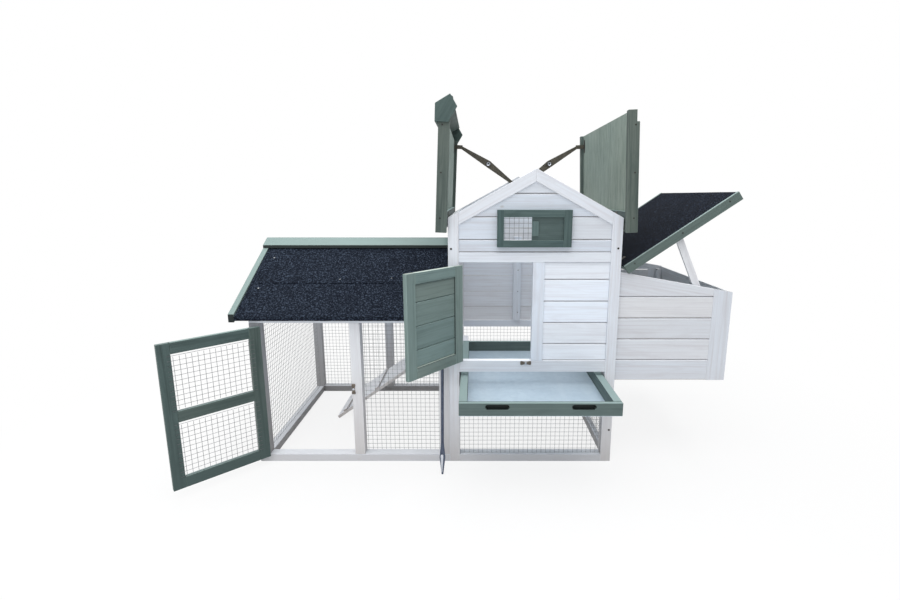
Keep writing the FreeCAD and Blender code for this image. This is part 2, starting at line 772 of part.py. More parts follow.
def link(x_hole, x_far, y_at, pivot, turn, label, rivet):
    """A flat link, wider at the elbow than at its pivot hole; the upper one carries the elbow's rivet."""
    edge = [(x_hole, "stay_w / 2"), (x_far, "stay_elbow / 2")]
    bits = [outline(edge + [(x, f"-({z})") for x, z in reversed(edge)], "stay_t", ("0", y_at, "0"))]
    bits.append(rod("stay_w", "stay_t", (x_hole, y_at, "0"), "y"))
    bits.append(rod("stay_elbow", "stay_t", (x_far, y_at, "0"), "y"))
    hole = rod("stay_pin + 2 * stay_fit", "stay_t + 2 * cut_over", (x_hole, f"{y_at} - cut_over", "0"), "y")
    pieces = [cut(fuse(bits), hole)]
    if rivet:
        pieces.append(rod("rivet_d", "rivet_h", (x_far, f"{y_at} - rivet_h", "0"), "y"))
    node(label, pieces, pivot, turn)


IRONS = []
for side in (-1, 1):
    word = "left" if side < 0 else "right"
    flip = 1 if side < 0 else -1
    lean = math.radians(90 - val("roof_lean"))
    drop = val("under") - val("stay_drop")
    hang_x = val("stay_at") * math.cos(lean) - drop * math.sin(lean)
    hang_z = val("stay_at") * math.sin(lean) + drop * math.cos(lean)
    hang = (flip * (hang_x - val("pin_x")), val("pin_z") + hang_z)
    dip = math.radians(val("stay_upper_dip"))
    knee = (hang[0] + flip * val("stay_len") * math.cos(dip), hang[1] - val("stay_len") * math.sin(dip))
    dip = math.radians(val("stay_lower_dip"))
    root = (knee[0] + flip * val("stay_len") * math.cos(dip), knee[1] - val("stay_len") * math.sin(dip))
    ends = ("0", "stay_len") if side < 0 else ("0", "-stay_len")
    turn = ("0; 1; 0", f"{flip} * stay_upper_dip")
    upper_at = (f"{hang[0]}", "0", f"{hang[1]}")
    link(*ends, f"{stay_y} - stay_gap - stay_t", upper_at, turn, f"{word}_stay_upper", True)
    ends = ("0", "-stay_len") if side < 0 else ("0", "stay_len")
    turn = ("0; 1; 0", f"{flip} * stay_lower_dip")
    lower_at = (f"{root[0]}", "0", f"{root[1]}")
    link(*ends, stay_y, lower_at, turn, f"{word}_stay_lower", False)
    plate_at = (f"{root[0]} - iron_w / 2", "house_d - rake_t - iron_t", f"{root[1]} - iron_h / 2")
    IRONS.append(bar(("iron_w", "iron_t", "iron_h"), plate_at))
    IRONS.append(rod("stay_pin", "stay_t + stay_gap", (f"{root[0]}", stay_y, f"{root[1]}"), "y"))
    print("pivot", f"{word}_stay_upper", *[round(v, 4) for v in (hang[0], 0, hang[1])])
    print("pivot", f"{word}_stay_lower", *[round(v, 4) for v in (root[0], 0, root[1])])
    # the bracket on the underside of the roof half, and its pin
    ear_y = f"{stay_y} - 2 * stay_gap - stay_t - iron_t"
    x_at = "stay_at" if side < 0 else "-stay_at"
    ear_at = (f"{x_at} - iron_w / 2", ear_y, "under - stay_drop - ear_end")
    bracket = [
        bar(("iron_w", "iron_t", "stay_drop + ear_end + barge_hang"), ear_at),
        rod("stay_pin", "stay_gap + stay_t", (x_at, f"{ear_y} + iron_t", "under - stay_drop"), "y"),
    ]
    for y_at in roof_hinge_y:
        knuckle = rod("barrel_d", "leaf_len / 2", ("0", y_at, "0"), "y")
        leaf_x = "0" if side < 0 else "-leaf_w"
        leaf = bar(("leaf_w", "leaf_len / 2", "under"), (leaf_x, y_at, "0"))
        trim_x = "barrel_d / 2 + cut_over" if side < 0 else "-leaf_w - barrel_d / 2 - cut_over"
        trim_at = (trim_x, f"{y_at} - cut_over", "-leaf_t")
        trim = bar(("leaf_w", "leaf_len / 2 + 2 * cut_over", "under"), trim_at)
        bracket.append(cut(fuse([knuckle, leaf]), trim))
        y_fixed = f"{y_at} + leaf_len / 2 + barrel_gap"
        x_pin = "-pin_x" if side < 0 else "pin_x"
        base = bar(
            ("barrel_d", "leaf_len / 2", "barrel_d / 2 + hinge_clear"),
            (f"{x_pin} - barrel_d / 2", y_fixed, "pin_z - barrel_d / 2 - hinge_clear"),
        )
        IRONS.append(fuse([rod("barrel_d", "leaf_len / 2", (x_pin, y_fixed, "pin_z"), "y"), base]))
    node(f"{word}_roof_irons", bracket, *((left_pivot, left_turn) if side < 0 else (right_pivot, right_turn)))


# Doors
def hinge(height, leaf_turn):
    """One half of a butt hinge on an upright pin: a leaf and its knuckle."""
    knuckle_low = height if leaf_turn == "moving" else f"{height} + leaf_len / 2 + barrel_gap"
    knuckle = rod("barrel_d", "leaf_len / 2", ("0", "0", knuckle_low), "z")
    x_leaf = "0" if leaf_turn == "moving" else "-leaf_w"
    leaf = bar(("leaf_w", "leaf_t", "leaf_len / 2"), (x_leaf, "pin_out - leaf_t", knuckle_low))
    return fuse([knuckle, leaf])


def door(label, pivot_x, width, low, high, angle):
    pivot = (pivot_x, "-pin_out", "0")
    turn = ("0; 0; 1", f"-{angle}")
    x_in, x_out = "door_gap", f"door_gap + {width}"
    heights = (f"{low} + hinge_in", f"{high} - hinge_in - leaf_len")
    node(f"{label}_hinges", [hinge(z, "moving") for z in heights], pivot, turn)
    for z in heights:
        half = hinge(z, "fixed")
        holder = group([half])
        place = "; ".join(tie(text) for text in pivot)
        holder.setExpression("Placement", f"placement(vector({place}); rotation(vector(0; 0; 1); 0))")
        IRONS.append(holder)
    return pivot, turn, x_in, x_out


low, high = "floor_top + door_low_gap", "upper_low - door_top_gap"
pivot, turn, x_in, x_out = door("house_door", "-bay", "house_door_w", low, high, "house_door_open")
inner_low, inner_high = f"{low} + door_stile", f"{high} - door_stile"
tall = f"{high} - ({low})"
leaf = [
    bar(("door_stile", "door_t", tall), (x_in, "pin_out", low)),
    bar(("door_stile", "door_t", tall), (f"{x_out} - door_stile", "pin_out", low)),
    bar(("house_door_w - 2 * door_stile", "door_t", "door_stile"), (f"{x_in} + door_stile", "pin_out", low)),
    bar(
        ("house_door_w - 2 * door_stile", "door_t", "door_stile"),
        (f"{x_in} + door_stile", "pin_out", inner_high),
    ),
]
node("house_door_frame", leaf, pivot, turn)
boards = []
span = (f"{x_in} + door_stile", f"{x_out} - door_stile")
panel_y = "pin_out + door_panel_in"
first = f"({inner_high} - ({inner_low}) - 2 * board_cover) / 2"
for z_low, z_high in rows(inner_low, inner_high, first):
    boards.append(plank(f"{panel_y} + door_panel_t", panel_y, span, z_low, z_high, "z along y"))
node("house_door_boards", boards, pivot, turn)

low, high = "sill_h + door_low_gap", "run_beam_low - door_top_gap"
pivot, turn, x_in, x_out = door("run_door", "run_x + post", "run_door_w", low, high, "run_door_open")
tall = f"{high} - ({low})"
clear = "run_door_w - 2 * door_stile"
middle = f"({low} + {high} - run_door_rail) / 2"
leaf = [
    bar(("door_stile", "door_t", tall), (x_in, "pin_out", low)),
    bar(("door_stile", "door_t", tall), (f"{x_out} - door_stile", "pin_out", low)),
]
for z_at in (low, middle, f"{high} - run_door_rail"):
    leaf.append(bar((clear, "door_t", "run_door_rail"), (f"{x_in} + door_stile", "pin_out", z_at)))
node("run_door_frame", leaf, pivot, turn)
wires = []
pane = f"({tall} - 3 * run_door_rail) / 2 + 2 * mesh_lap"
for z_at in (f"{low} + run_door_rail - mesh_lap", f"{middle} + run_door_rail - mesh_lap"):
    wires += net(f"{clear} + 2 * mesh_lap", pane, (f"{x_in} + door_stile - mesh_lap", "pin_out + door_t", z_at))
node("run_door_mesh", wires, pivot, turn)


# Turn buttons, drawn upright
def button(label, x_at, z_at, angle):
    quarter = [
        ("button_tip / 2", "button_len / 2"),
        ("button_w / 2", "button_len / 2 - button_shoulder"),
        ("button_waist / 2", "button_neck"),
    ]
    right = quarter + [(x, f"-({z})") for x, z in reversed(quarter)]
    bow = right + [(f"-({x})", z) for x, z in reversed(right)]
    plate = outline(bow, "button_t", ("0", "-button_off - button_t", "0"))
    boss = rod("button_boss", "boss_h", ("0", "-button_off - button_t - boss_h", "0"), "y")
    washer = rod("button_boss", "button_off - button_play", ("0", "-button_off", "0"), "y")
    node(label, [plate, boss, washer], (x_at, "0", z_at), ("0; 1; 0", angle))


button("house_turn_button", "house_button_x", "house_button_z", "90")
button("run_turn_button", "run_button_x", "run_button_z", "0")

# Nest box
rim_at = "nest_rim - nest_slope * "
nest_left = "half_w"
corner_x = "nest_x - nest_corner"
joints = [f"nest_low + {i} * board_cover" for i in range(5)]


def nest_wall(face, back):
    along = (nest_left, corner_x)
    pieces = [plank(face, back, along, a, b, "z along y") for a, b in zip(joints, joints[1:])]
    deep = (face, back) if val_of(face) < val_of(back) else (back, face)
    top = joints[-1]
    pieces.append(
        taper(
            "z along x",
            (nest_left, f"{top} + board_bevel", "nest_rim"),
            (corner_x, f"{top} + board_bevel", f"{rim_at}({corner_x} - half_w)"),
            deep,
        )
    )
    pieces.append(
        taper(
            "z along x",
            (corner_x, "nest_low", f"{rim_at}({corner_x} - half_w)"),
            ("nest_x", "nest_low", "nest_end_rim"),
            deep,
        )
    )
    return pieces


node("nest_front_wall", nest_wall("nest_y", "nest_y + board_t"))
node("nest_rear_wall", nest_wall("nest_back", "nest_back - board_t"))
boards = []
for low, high in list(zip(joints, joints[1:])) + [(joints[-1], "nest_end_rim")]:
    along = ("nest_y + board_t", "nest_back - board_t")
    boards.append(plank("nest_x", "nest_x - board_t", along, low, high, "z along x"))
node("nest_end_wall", boards)
inner_y, inner_back = "nest_y + board_t", "nest_back - board_t"
floor_size = ("nest_x - board_t - half_w", f"{inner_back} - ({inner_y})", "nest_floor_t")
node("nest_floor", [bar(floor_size, ("half_w", inner_y, "nest_low"))])
corner_z = "nest_low + nest_floor_t"
corner_h = f"nest_end_rim - ({corner_z}) - nest_batten_drop"
battens = []
for y_at in (inner_y, f"{inner_back} - nest_batten"):
    for x_at in ("nest_x - board_t - nest_batten", "half_w"):
        battens.append(bar(("nest_batten", "nest_batten", corner_h), (x_at, y_at, corner_z)))

# Nest lid, drawn flat from its pivot
lid_pivot = ("lid_pin_x", "0", "lid_pin_z")
lid_turn = ("0; 1; 0", "-lid_open")
lid_y = "nest_y - lid_side_gap"
lid_d = "nest_d + 2 * lid_side_gap"
lid_z = "lid_seat - lid_pin_up"
prop_y = f"{inner_y} + prop_side_gap"
cheek = bar(
    ("prop_w", "prop_cheek", "prop_drop + cheek_end"),
    ("prop_at - prop_w / 2", f"{prop_y} + prop_t + prop_play", f"{lid_z} - prop_drop - cheek_end"),
)
panel = bar(("lid_len", lid_d, "lid_t"), ("lid_start", lid_y, lid_z))
node("nest_lid_panel", [panel, cheek], lid_pivot, lid_turn)
felt = bar(("lid_len", lid_d, "felt_t"), ("lid_start", lid_y, f"{lid_z} + lid_t"))
node("nest_lid_felt", [felt], lid_pivot, lid_turn)
barges = []
barge_z = f"{lid_z} + lid_t + felt_t + lid_barge_up - lid_barge_w"
for y_at in (f"{lid_y} - lid_barge_t", f"{lid_y} + {lid_d}"):
    barges.append(bar(("lid_len", "lid_barge_t", "lid_barge_w"), ("lid_start", y_at, barge_z)))
node("nest_lid_barges", barges, lid_pivot, lid_turn)
moving = []
for y_at in ("post + lid_hinge_in", "back - lid_hinge_in - leaf_len"):
    knuckle = rod("barrel_d", "leaf_len / 2", ("0", y_at, "0"), "y")
    leaf_z = f"{lid_z} + lid_t + felt_t"
    strap = bar(("2 * leaf_w", "leaf_len / 2", "leaf_t"), ("0", y_at, leaf_z))
    moving.append(fuse([knuckle, strap]))
    y_fixed = f"{y_at} + leaf_len / 2 + barrel_gap"
    knuckle = rod("barrel_d", "leaf_len / 2", ("lid_pin_x", y_fixed, "lid_pin_z"), "y")
    wall_at = ("half_w - recess", y_fixed, "lid_pin_z - leaf_t / 2")
    back_leaf = bar(("lid_pin_out + recess", "leaf_len / 2", "leaf_t"), wall_at)
    wall_leaf = bar(("leaf_t", "leaf_len / 2", "leaf_w"), wall_at)
    IRONS.append(fuse([knuckle, back_leaf, wall_leaf]))
node("nest_lid_hinges", moving, lid_pivot, lid_turn)

# Prop of the lid: a stick on a cheek under the lid, its foot against a stop on the front wall
lift = math.radians(val("lid_open"))
depth = val_of(lid_z) - val("prop_drop")
top_x = val("lid_pin_x") + val("prop_at") * math.cos(lift) - depth * math.sin(lift)
top_z = val("lid_pin_z") + val("prop_at") * math.sin(lift) + depth * math.cos(lift)
stick = [
    fuse(
        [
            bar(("prop_len", "prop_t", "prop_w"), ("0", prop_y, "-prop_w / 2")),
            rod("prop_w", "prop_t", ("0", prop_y, "0"), "y"),
        ]
    )
]
node("lid_prop", stick, (f"{top_x}", "0", f"{top_z}"), ("0; 1; 0", "prop_lean - lid_open"))
print("pivot lid_prop", round(top_x, 4), 0, round(top_z, 4))
fall = math.radians(val("prop_lean") - val("lid_open"))
foot_x = top_x + val("prop_len") * math.cos(fall) - val("prop_w") / 2 * -math.sin(fall)
foot_z = top_z - val("prop_len") * math.sin(fall) + val("prop_w") / 2 * math.cos(fall)
reach_stop = (val("stop_d") / 2 + val("stop_gap")) * math.sqrt(0.5)
stop_at = (f"{foot_x + reach_stop}", inner_y, f"{foot_z - reach_stop}")
stop = rod("stop_d", "prop_t + prop_side_gap", stop_at, "y")
node("nest_battens", battens + [stop])

# Run frame
posts = []
for y_at in ("0", "back"):
    for x_at in ("run_x", "run_mid - post / 2", "-half_w - post"):
        posts.append(bar(("post", "post", "run_beam_low - sill_h"), (x_at, y_at, "sill_h")))
node("run_posts", posts)
rails = []
for y_at in ("0", "back"):
    rails.append(bar(("run_len", "post", "sill_h"), ("run_x", y_at, "0")))
    rails.append(bar(("run_len", "post", "run_beam_h"), ("run_x", y_at, "run_beam_low")))
rails.append(bar(("post", "back - post", "sill_h"), ("run_x", "post", "0")))
rails.append(bar(("post", "back - post", "run_beam_h"), ("run_x", "post", "run_beam_low")))
node("run_rails", rails)

# Run roof, a small gable across the run with its ridge along X
roof_x, end_x = "run_x - run_left_over", "-half_w - run_wall_gap"
panel_v = "run_roof_t / cos(run_pitch)"
felt_v = "felt_t / cos(run_pitch)"


def pitched(y_from, y_to, base_up, thick, x_from, x_to):
    """A board lying on the run roof, from one level to another, on both slopes."""
    pieces = []
    for rear in (False, True):
        ends = []
        for y in (y_from, y_to):
            under = f"run_ridge_under - (run_mid_y - ({y})) * run_slope + {base_up}"
            place = f"house_d - ({y})" if rear else y
            ends.append((place, under, f"{under} + {thick}"))
        near, far = (ends[1], ends[0]) if rear else (ends[0], ends[1])
        pieces.append(taper("z along y", near, far, (x_from, x_to)))
    return pieces


beam_top = "run_beam_low + run_beam_h"
node("run_roof_panels", pitched("-run_front_over", "run_mid_y", "0", panel_v, f"{roof_x} + run_barge_t", end_x))
lap_y = "felt_lower * cos(run_pitch) - run_front_over"
felts = pitched("-run_front_over", lap_y, panel_v, felt_v, f"{roof_x} + run_barge_t", end_x)
lap_z = f"{panel_v} + {felt_v}"
felts += pitched(f"{lap_y} - felt_lap", lap_y, lap_z, felt_v, f"{roof_x} + run_barge_t", end_x)
felts += pitched(lap_y, "run_mid_y", panel_v, f"2 * {felt_v}", f"{roof_x} + run_barge_t", end_x)
turn_down = f"{panel_v} + {felt_v}"
turn_z = "run_ridge_under - (run_mid_y + run_front_over) * run_slope"
for y_at in ("-run_front_over - felt_t", "house_d + run_front_over"):
    size = (f"{end_x} - ({roof_x} + run_barge_t)", "felt_t", turn_down)
    felts.append(bar(size, (f"{roof_x} + run_barge_t", y_at, turn_z)))
node("run_roof_felt", felts)
barge_v = "run_barge_w / cos(run_pitch)"
barge_top = f"{panel_v} + run_barge_up / cos(run_pitch)"
barge_x = (roof_x, f"{roof_x} + run_barge_t")
trim = pitched("-run_front_over", "run_mid_y", f"{barge_top} - {barge_v}", barge_v, *barge_x)
cap_y = "run_mid_y - run_cap_w * cos(run_pitch)"
trim += pitched(cap_y, "run_mid_y", barge_top, "run_cap_t / cos(run_pitch)", roof_x, end_x)
node("run_roof_trim", trim)
rafters = []
rafter_v = "run_rafter_h / cos(run_pitch)"
seat_y = f"run_mid_y - (run_ridge_under - {rafter_v} - ({beam_top})) / run_slope"
starts = [("run_x", seat_y), ("run_mid - run_rafter_t / 2", "post"), ("-half_w - run_rafter_t", "post")]
for x_at, foot_y in starts:
    rafters += pitched(foot_y, "run_mid_y", f"-({rafter_v})", rafter_v, x_at, f"{x_at} + run_rafter_t")
node("run_rafters", rafters)
boards = []
gable_low = beam_top
gable_high = f"run_ridge_under - {rafter_v}"
count = math.ceil((val_of(gable_high) - val_of(gable_low)) / val("board_cover"))
for i in range(count):
    z_low, z_high = f"{gable_low} + {i} * board_cover", f"{gable_low} + {i + 1} * board_cover"
    boards.append(plank("run_x + recess", "run_x + board_y", ("post", "back"), z_low, z_high, "z along x"))
spread = f"({gable_high} - ({gable_low})) / run_slope"
gable = taper(
    "y up z",
    (gable_low, f"run_mid_y - {spread}", f"run_mid_y + {spread}"),
    (f"{gable_high} - ridge_flat * run_slope", "run_mid_y - ridge_flat", "run_mid_y + ridge_flat"),
    ("run_x - cut_over", "run_x + post"),
)
node("run_gable_boards", [common(group(boards), gable)])
bay_h = "run_beam_low - sill_h"
bay_w = "-half_w - post - run_mid - post / 2"
front_at = ("run_mid + post / 2 - mesh_lap", "post", "sill_h - mesh_lap")
wires = net(f"{bay_w} + 2 * mesh_lap", f"{bay_h} + 2 * mesh_lap", front_at)
wires += net(bay_w, bay_h, ("run_mid + post / 2", "back + post / 2", "sill_h"))
wires += net("run_bay", bay_h, ("run_x + post", "back + post / 2", "sill_h"))
wires += net("back - post", bay_h, ("run_x + post / 2", "post", "sill_h"), "90")
node("run_mesh", wires)

# Ramp, drawn flat from its foot
ramp_turn = ("0; 1; 0", "-ramp_angle")
ramp_len = "(ramp_top_x - ramp_foot_x) / cos(ramp_angle) - ramp_t * tan(ramp_angle) - ramp_gap"
ramp_pivot = ("ramp_foot_x + ramp_t * sin(ramp_angle)", "0", "0")
node("ramp_board", [bar((ramp_len, "ramp_w", "ramp_t"), ("0", "ramp_y", "0"))], ramp_pivot, ramp_turn)
count = int((val_of(ramp_len) - val("cleat_end") - val("cleat_w")) / val("cleat_step")) + 1
places = [f"cleat_end + {i} * cleat_step" for i in range(count)]
cleats = [bar(("cleat_w", "ramp_w", "cleat_h"), (x_at, "ramp_y", "ramp_t")) for x_at in places]
node("ramp_cleats", cleats, ramp_pivot, ramp_turn)

# Tray scraper: its blade stands on the ground in front and its rod leans in a clip on the end stile
hold = val("scraper_foot") - val("scraper_d") / 2 - val("clip_t") - val("clip_play")
lean = math.degrees(math.atan2(hold, val("clip_z")))
blade = [
    ("-scraper_tip / 2", "0"),
    ("scraper_tip / 2", "0"),
    ("scraper_w / 2", "scraper_shoulder"),
    ("scraper_d / 2", "scraper_blade"),
    ("-scraper_d / 2", "scraper_blade"),
    ("-scraper_w / 2", "scraper_shoulder"),
]
scraper = [
    outline(blade, "scraper_t", ("0", "-scraper_t / 2", "0")),
    rod("scraper_d", "scraper_len - scraper_blade", ("0", "0", "scraper_blade"), "z"),
]
foot_at = ("scraper_x", "-scraper_foot", "ground_gap")
node("tray_scraper", scraper, foot_at, ("1; 0; 0", f"-{lean}"))
clip = ("scraper_x - scraper_d / 2", "-clip_t", "clip_z - clip_t / 2")
IRONS.append(bar(("scraper_d", "clip_t", "clip_t"), clip))
node("fixed_irons", IRONS)

doc.recompute()
for piece in doc.Objects:
    if "Invalid" in piece.State or "Error" in piece.State:
        raise SystemExit(f"{piece.Label} {piece.Name} did not build: {piece.State}")
os.makedirs("parts", exist_ok=True)
for piece in NODES:
    shape = piece.Shape
    if shape.isNull() or not shape.isValid() or not shape.Solids:
        raise SystemExit(f"{piece.Label} has no valid solid")
    shape.exportStep(f"parts/{piece.Label}.step")
named = ["pin_x", "pin_z", "roof_swing", "lid_pin_x", "lid_pin_z", "nest_fall", "bay", "run_x", "tray_low", "apex"]
for name in named:
    print("size", name, round(val(name), 4))
print(len(NODES), "nodes")
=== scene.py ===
"""Looks of the small animal hutch: timber with eased edges and grain, round wires, felt, irons and fasteners."""

import json
import math
import random
from collections import Counter

import bmesh
import bpy
from mathutils import Matrix, Vector, noise

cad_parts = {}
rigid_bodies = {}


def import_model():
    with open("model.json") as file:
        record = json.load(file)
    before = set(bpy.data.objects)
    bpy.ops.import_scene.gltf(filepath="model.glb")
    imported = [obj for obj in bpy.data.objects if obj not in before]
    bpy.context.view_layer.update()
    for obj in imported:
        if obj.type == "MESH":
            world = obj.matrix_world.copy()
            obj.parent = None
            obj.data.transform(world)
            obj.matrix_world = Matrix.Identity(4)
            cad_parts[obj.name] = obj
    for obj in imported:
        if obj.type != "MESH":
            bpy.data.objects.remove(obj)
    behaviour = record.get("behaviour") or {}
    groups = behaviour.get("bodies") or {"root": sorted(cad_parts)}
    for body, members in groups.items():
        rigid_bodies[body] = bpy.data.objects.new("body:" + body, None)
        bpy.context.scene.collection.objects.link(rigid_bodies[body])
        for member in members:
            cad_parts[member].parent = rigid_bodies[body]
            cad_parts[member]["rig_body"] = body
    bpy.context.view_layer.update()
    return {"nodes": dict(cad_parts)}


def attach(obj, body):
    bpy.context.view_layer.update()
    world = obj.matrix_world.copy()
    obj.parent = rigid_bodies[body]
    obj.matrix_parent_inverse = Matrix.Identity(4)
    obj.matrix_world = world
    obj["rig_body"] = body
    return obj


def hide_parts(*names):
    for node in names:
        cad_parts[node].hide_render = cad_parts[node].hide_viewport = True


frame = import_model()
scene = bpy.context.scene

# Directions
FRONT = Vector((0, -1, 0))
UP = Vector((0, 0, 1))
RUN_SLOPE = Vector((0, -0.533, 0.846))

# Radii of eased edges, in metres
SAWN = 0.0018
DOOR_EDGE = 0.0016
BATTEN = 0.0015
PLANED = 0.0014
FINE = 0.0012
THIN = 0.001
PLY = 0.0008
NEST_BOARD = 0.0006
MATCHED = 0.0005
STAY_PLATE = 0.0004
PRESSED = 0.0003
WASHER = 0.0002

# Corners of the solids: steps in a metre that tell them apart, and the distance in metres within which they merge
CORNER_STEPS = 20000
MERGE = 2e-5

# Angles between faces, in degrees: sides that count as flat, and edges that count as a board's own
FLAT = 1.5
BOARD_EDGE = 20

# Faces of a board: widths in metres that tell them apart, how dark end grain and its painted shade are, and how much
# finer plywood's grain is
ARRIS_WIDTH = 0.0016
JOINT_WIDTH = 0.004
END_GRAIN = 0.35
PLY_GRAIN = 2.5

# Welded wire, in metres
PITCH = 0.019
GAUGE = 0.0014
WAVER = 0.0004
CUT_SHORT = 1.25 * PITCH


# Finishes
def shade(red, green, blue):
    """A colour as seen on a screen, 0 to 255, made linear."""
    parts = [v / 255 for v in (red, green, blue)]
    return tuple(v / 12.92 if v <= 0.04045 else ((v + 0.055) / 1.055) ** 2.4 for v in parts) + (1.0,)


class Nodes:
    """A node tree, and short ways to add to it."""

    def __init__(self, tree):
        self.tree = tree

    def node(self, kind, inputs=None, **settings):
        """A new node with its settings, and values or links for its inputs."""
        made = self.tree.nodes.new("ShaderNode" + kind)
        for name, value in settings.items():
            setattr(made, name, value)
        for socket, value in (inputs or {}).items():
            self.join(made.inputs[socket], value)
        return made

    def join(self, socket, value):
        """Gives an input a link or a plain value."""
        if isinstance(value, bpy.types.NodeSocket):
            self.tree.links.new(value, socket)
        else:
            socket.default_value = value

    def noise(self, vector, scale, detail=4.0, roughness=0.55, distortion=0.0):
        given = {"Vector": vector, "Scale": scale, "Detail": detail, "Roughness": roughness}
        return self.node("TexNoise", {**given, "Distortion": distortion}).outputs[0]

    def cells(self, vector, scale, output="Distance"):
        return self.node("TexVoronoi", {"Vector": vector, "Scale": scale}).outputs[output]

    def parts(self, colour):
        return self.node("SeparateColor", {0: colour}).outputs

    def stretch(self, vector, scale):
        return self.node("Mapping", {"Vector": vector, "Scale": scale}).outputs[0]

    def ramp(self, value, low, high, start=0.0, end=1.0):
        given = {"Value": value, "From Min": low, "From Max": high, "To Min": start, "To Max": end}
        return self.node("MapRange", given).outputs[0]

    def math(self, kind, first, second):
        return self.node("Math", {0: first, 1: second}, operation=kind).outputs[0]

    def times(self, first, second):
        return self.math("MULTIPLY", first, second)

    def mix(self, factor, first, second, kind="MIX"):
        made = self.node("Mix", {0: factor, 6: first, 7: second}, data_type="RGBA", blend_type=kind)
        return made.outputs[2]

    def mark(self, name, output="Fac"):
        """A value that the mesh carries, such as its grain."""
        return self.node("Attribute", attribute_name=name).outputs[output]

    def place(self):
        return self.node("TexCoord").outputs["Object"]

    def seen(self):
        """One on rays that show the studio itself, and zero on rays that only light the object."""
        path = self.node("LightPath").outputs
        straight = self.math("MAXIMUM", path["Is Camera Ray"], path["Is Glossy Ray"])
        return self.math("MAXIMUM", straight, path["Is Transmission Ray"])


class Finish(Nodes):
    """One material and the record's slot that it belongs to."""

    def __init__(self, name, slot, roughness=0.6, metallic=0.0, specular=0.5):
        self.slot = slot
        self.material = bpy.data.materials.new(name)
        self.material.use_nodes = True
        super().__init__(self.material.node_tree)
        self.shader = self.tree.nodes["Principled BSDF"]
        self.shader.inputs["Roughness"].default_value = roughness
        self.shader.inputs["Metallic"].default_value = metallic
        self.shader.inputs["Specular IOR Level"].default_value = specular

    def wear(self, colour, roughness, height, depth, strength):
        """Puts colour, roughness and a relief on the surface."""
        self.join(self.shader.inputs["Base Color"], colour)
        self.join(self.shader.inputs["Roughness"], roughness)
        bump = self.node("Bump", {"Strength": strength, "Distance": depth, "Height": height})
        self.join(self.shader.inputs["Normal"], bump.outputs[0])


def painted_wood(name, slot, cover, coat, warm, thin, knot, rub, bleached, earth, soaked):
    """Paint over softwood: cool and warm boards, streaks, knots, rubbed edges, painted highlights, painted shade, dark
    ends.

    Cover says how much of the streaks shows where the paint is thin.
    """
    finish = Finish(name, slot, roughness=0.62, specular=0.3)
    grain = finish.mark("grain", "Vector")
    place = finish.place()
    board = finish.noise(grain, 0.35, 2.0, 0.5)
    streak = finish.noise(finish.stretch(grain, (2.4, 95, 95)), 1.0, 4.0, 0.6, 0.6)
    smudge = finish.noise(finish.stretch(grain, (5, 22, 22)), 1.0, 4.0, 0.6, 1.0)
    fibre = finish.noise(finish.stretch(grain, (9, 260, 260)), 1.0, 4.0, 0.65)
    brush = finish.noise(place, 7.0, 4.0, 0.6)
    sparse = finish.stretch(grain, (5.5, 9, 9))
    near = finish.cells(sparse, 1.0)
    chosen = finish.parts(finish.cells(sparse, 1.0, "Color"))[0]
    knots = finish.times(finish.ramp(near, 0.06, 0.02), finish.ramp(chosen, 0.7, 0.74))
    worn = finish.times(finish.mark("arris"), finish.ramp(brush, 0.35, 0.75, 0.3, 1.0))
    # Painted highlight on tops and joints, broken up by the brush.
    sun = finish.times(finish.mark("sun"), finish.ramp(brush, 0.3, 0.8, 0.8, 1.0))
    up = finish.node("SeparateXYZ", {0: place}).outputs["Z"]
    colour = finish.mix(finish.ramp(board, 0.42, 0.62), coat, warm)
    colour = finish.mix(finish.ramp(smudge, 0.5, 0.72, 0.0, cover * 0.6), colour, thin)
    colour = finish.mix(finish.ramp(streak, 0.45, 0.7, 0.0, cover), colour, thin)
    colour = finish.mix(finish.ramp(fibre, 0.52, 0.8, 0.0, cover * 0.6), colour, thin)
    colour = finish.mix(finish.times(knots, 0.5), colour, knot)
    # Darker and warmer towards the ground: painted shade.
    colour = finish.mix(finish.ramp(up, 0.02, 0.42, 0.8, 0.0), colour, earth)
    colour = finish.mix(finish.times(worn, 0.7), colour, rub)
    colour = finish.mix(1.0, colour, finish.mark("tone", "Color"), "MULTIPLY")
    # Painted highlight laid over the tone.
    colour = finish.mix(sun, colour, bleached)
    # Dark end grain, dirt in dark joints, and painted shade on fronts, joints and inner edges.
    colour = finish.mix(finish.mark("ends"), colour, soaked)
    height = finish.math("ADD", finish.times(fibre, 0.6), finish.times(streak, 0.9))
    height = finish.math("SUBTRACT", height, finish.times(knots, 0.5))
    finish.wear(colour, finish.ramp(brush, 0.3, 0.75, 0.52, 0.74), height, 0.0006, 0.5)
    return finish


def sage_paint(name, cover, bleached):
    """The green of the doors, roofs, tray and window, with more or less of its streaks showing and its own painted
    highlight.
    """
    return painted_wood(
        name,
        "sage_wood",
        cover,
        coat=shade(105, 123, 121),
        warm=shade(108, 121, 116),
        thin=shade(74, 90, 88),
        knot=shade(62, 72, 68),
        rub=shade(138, 156, 150),
        bleached=bleached,
        earth=shade(96, 113, 111),
        soaked=shade(32, 40, 40),
    )


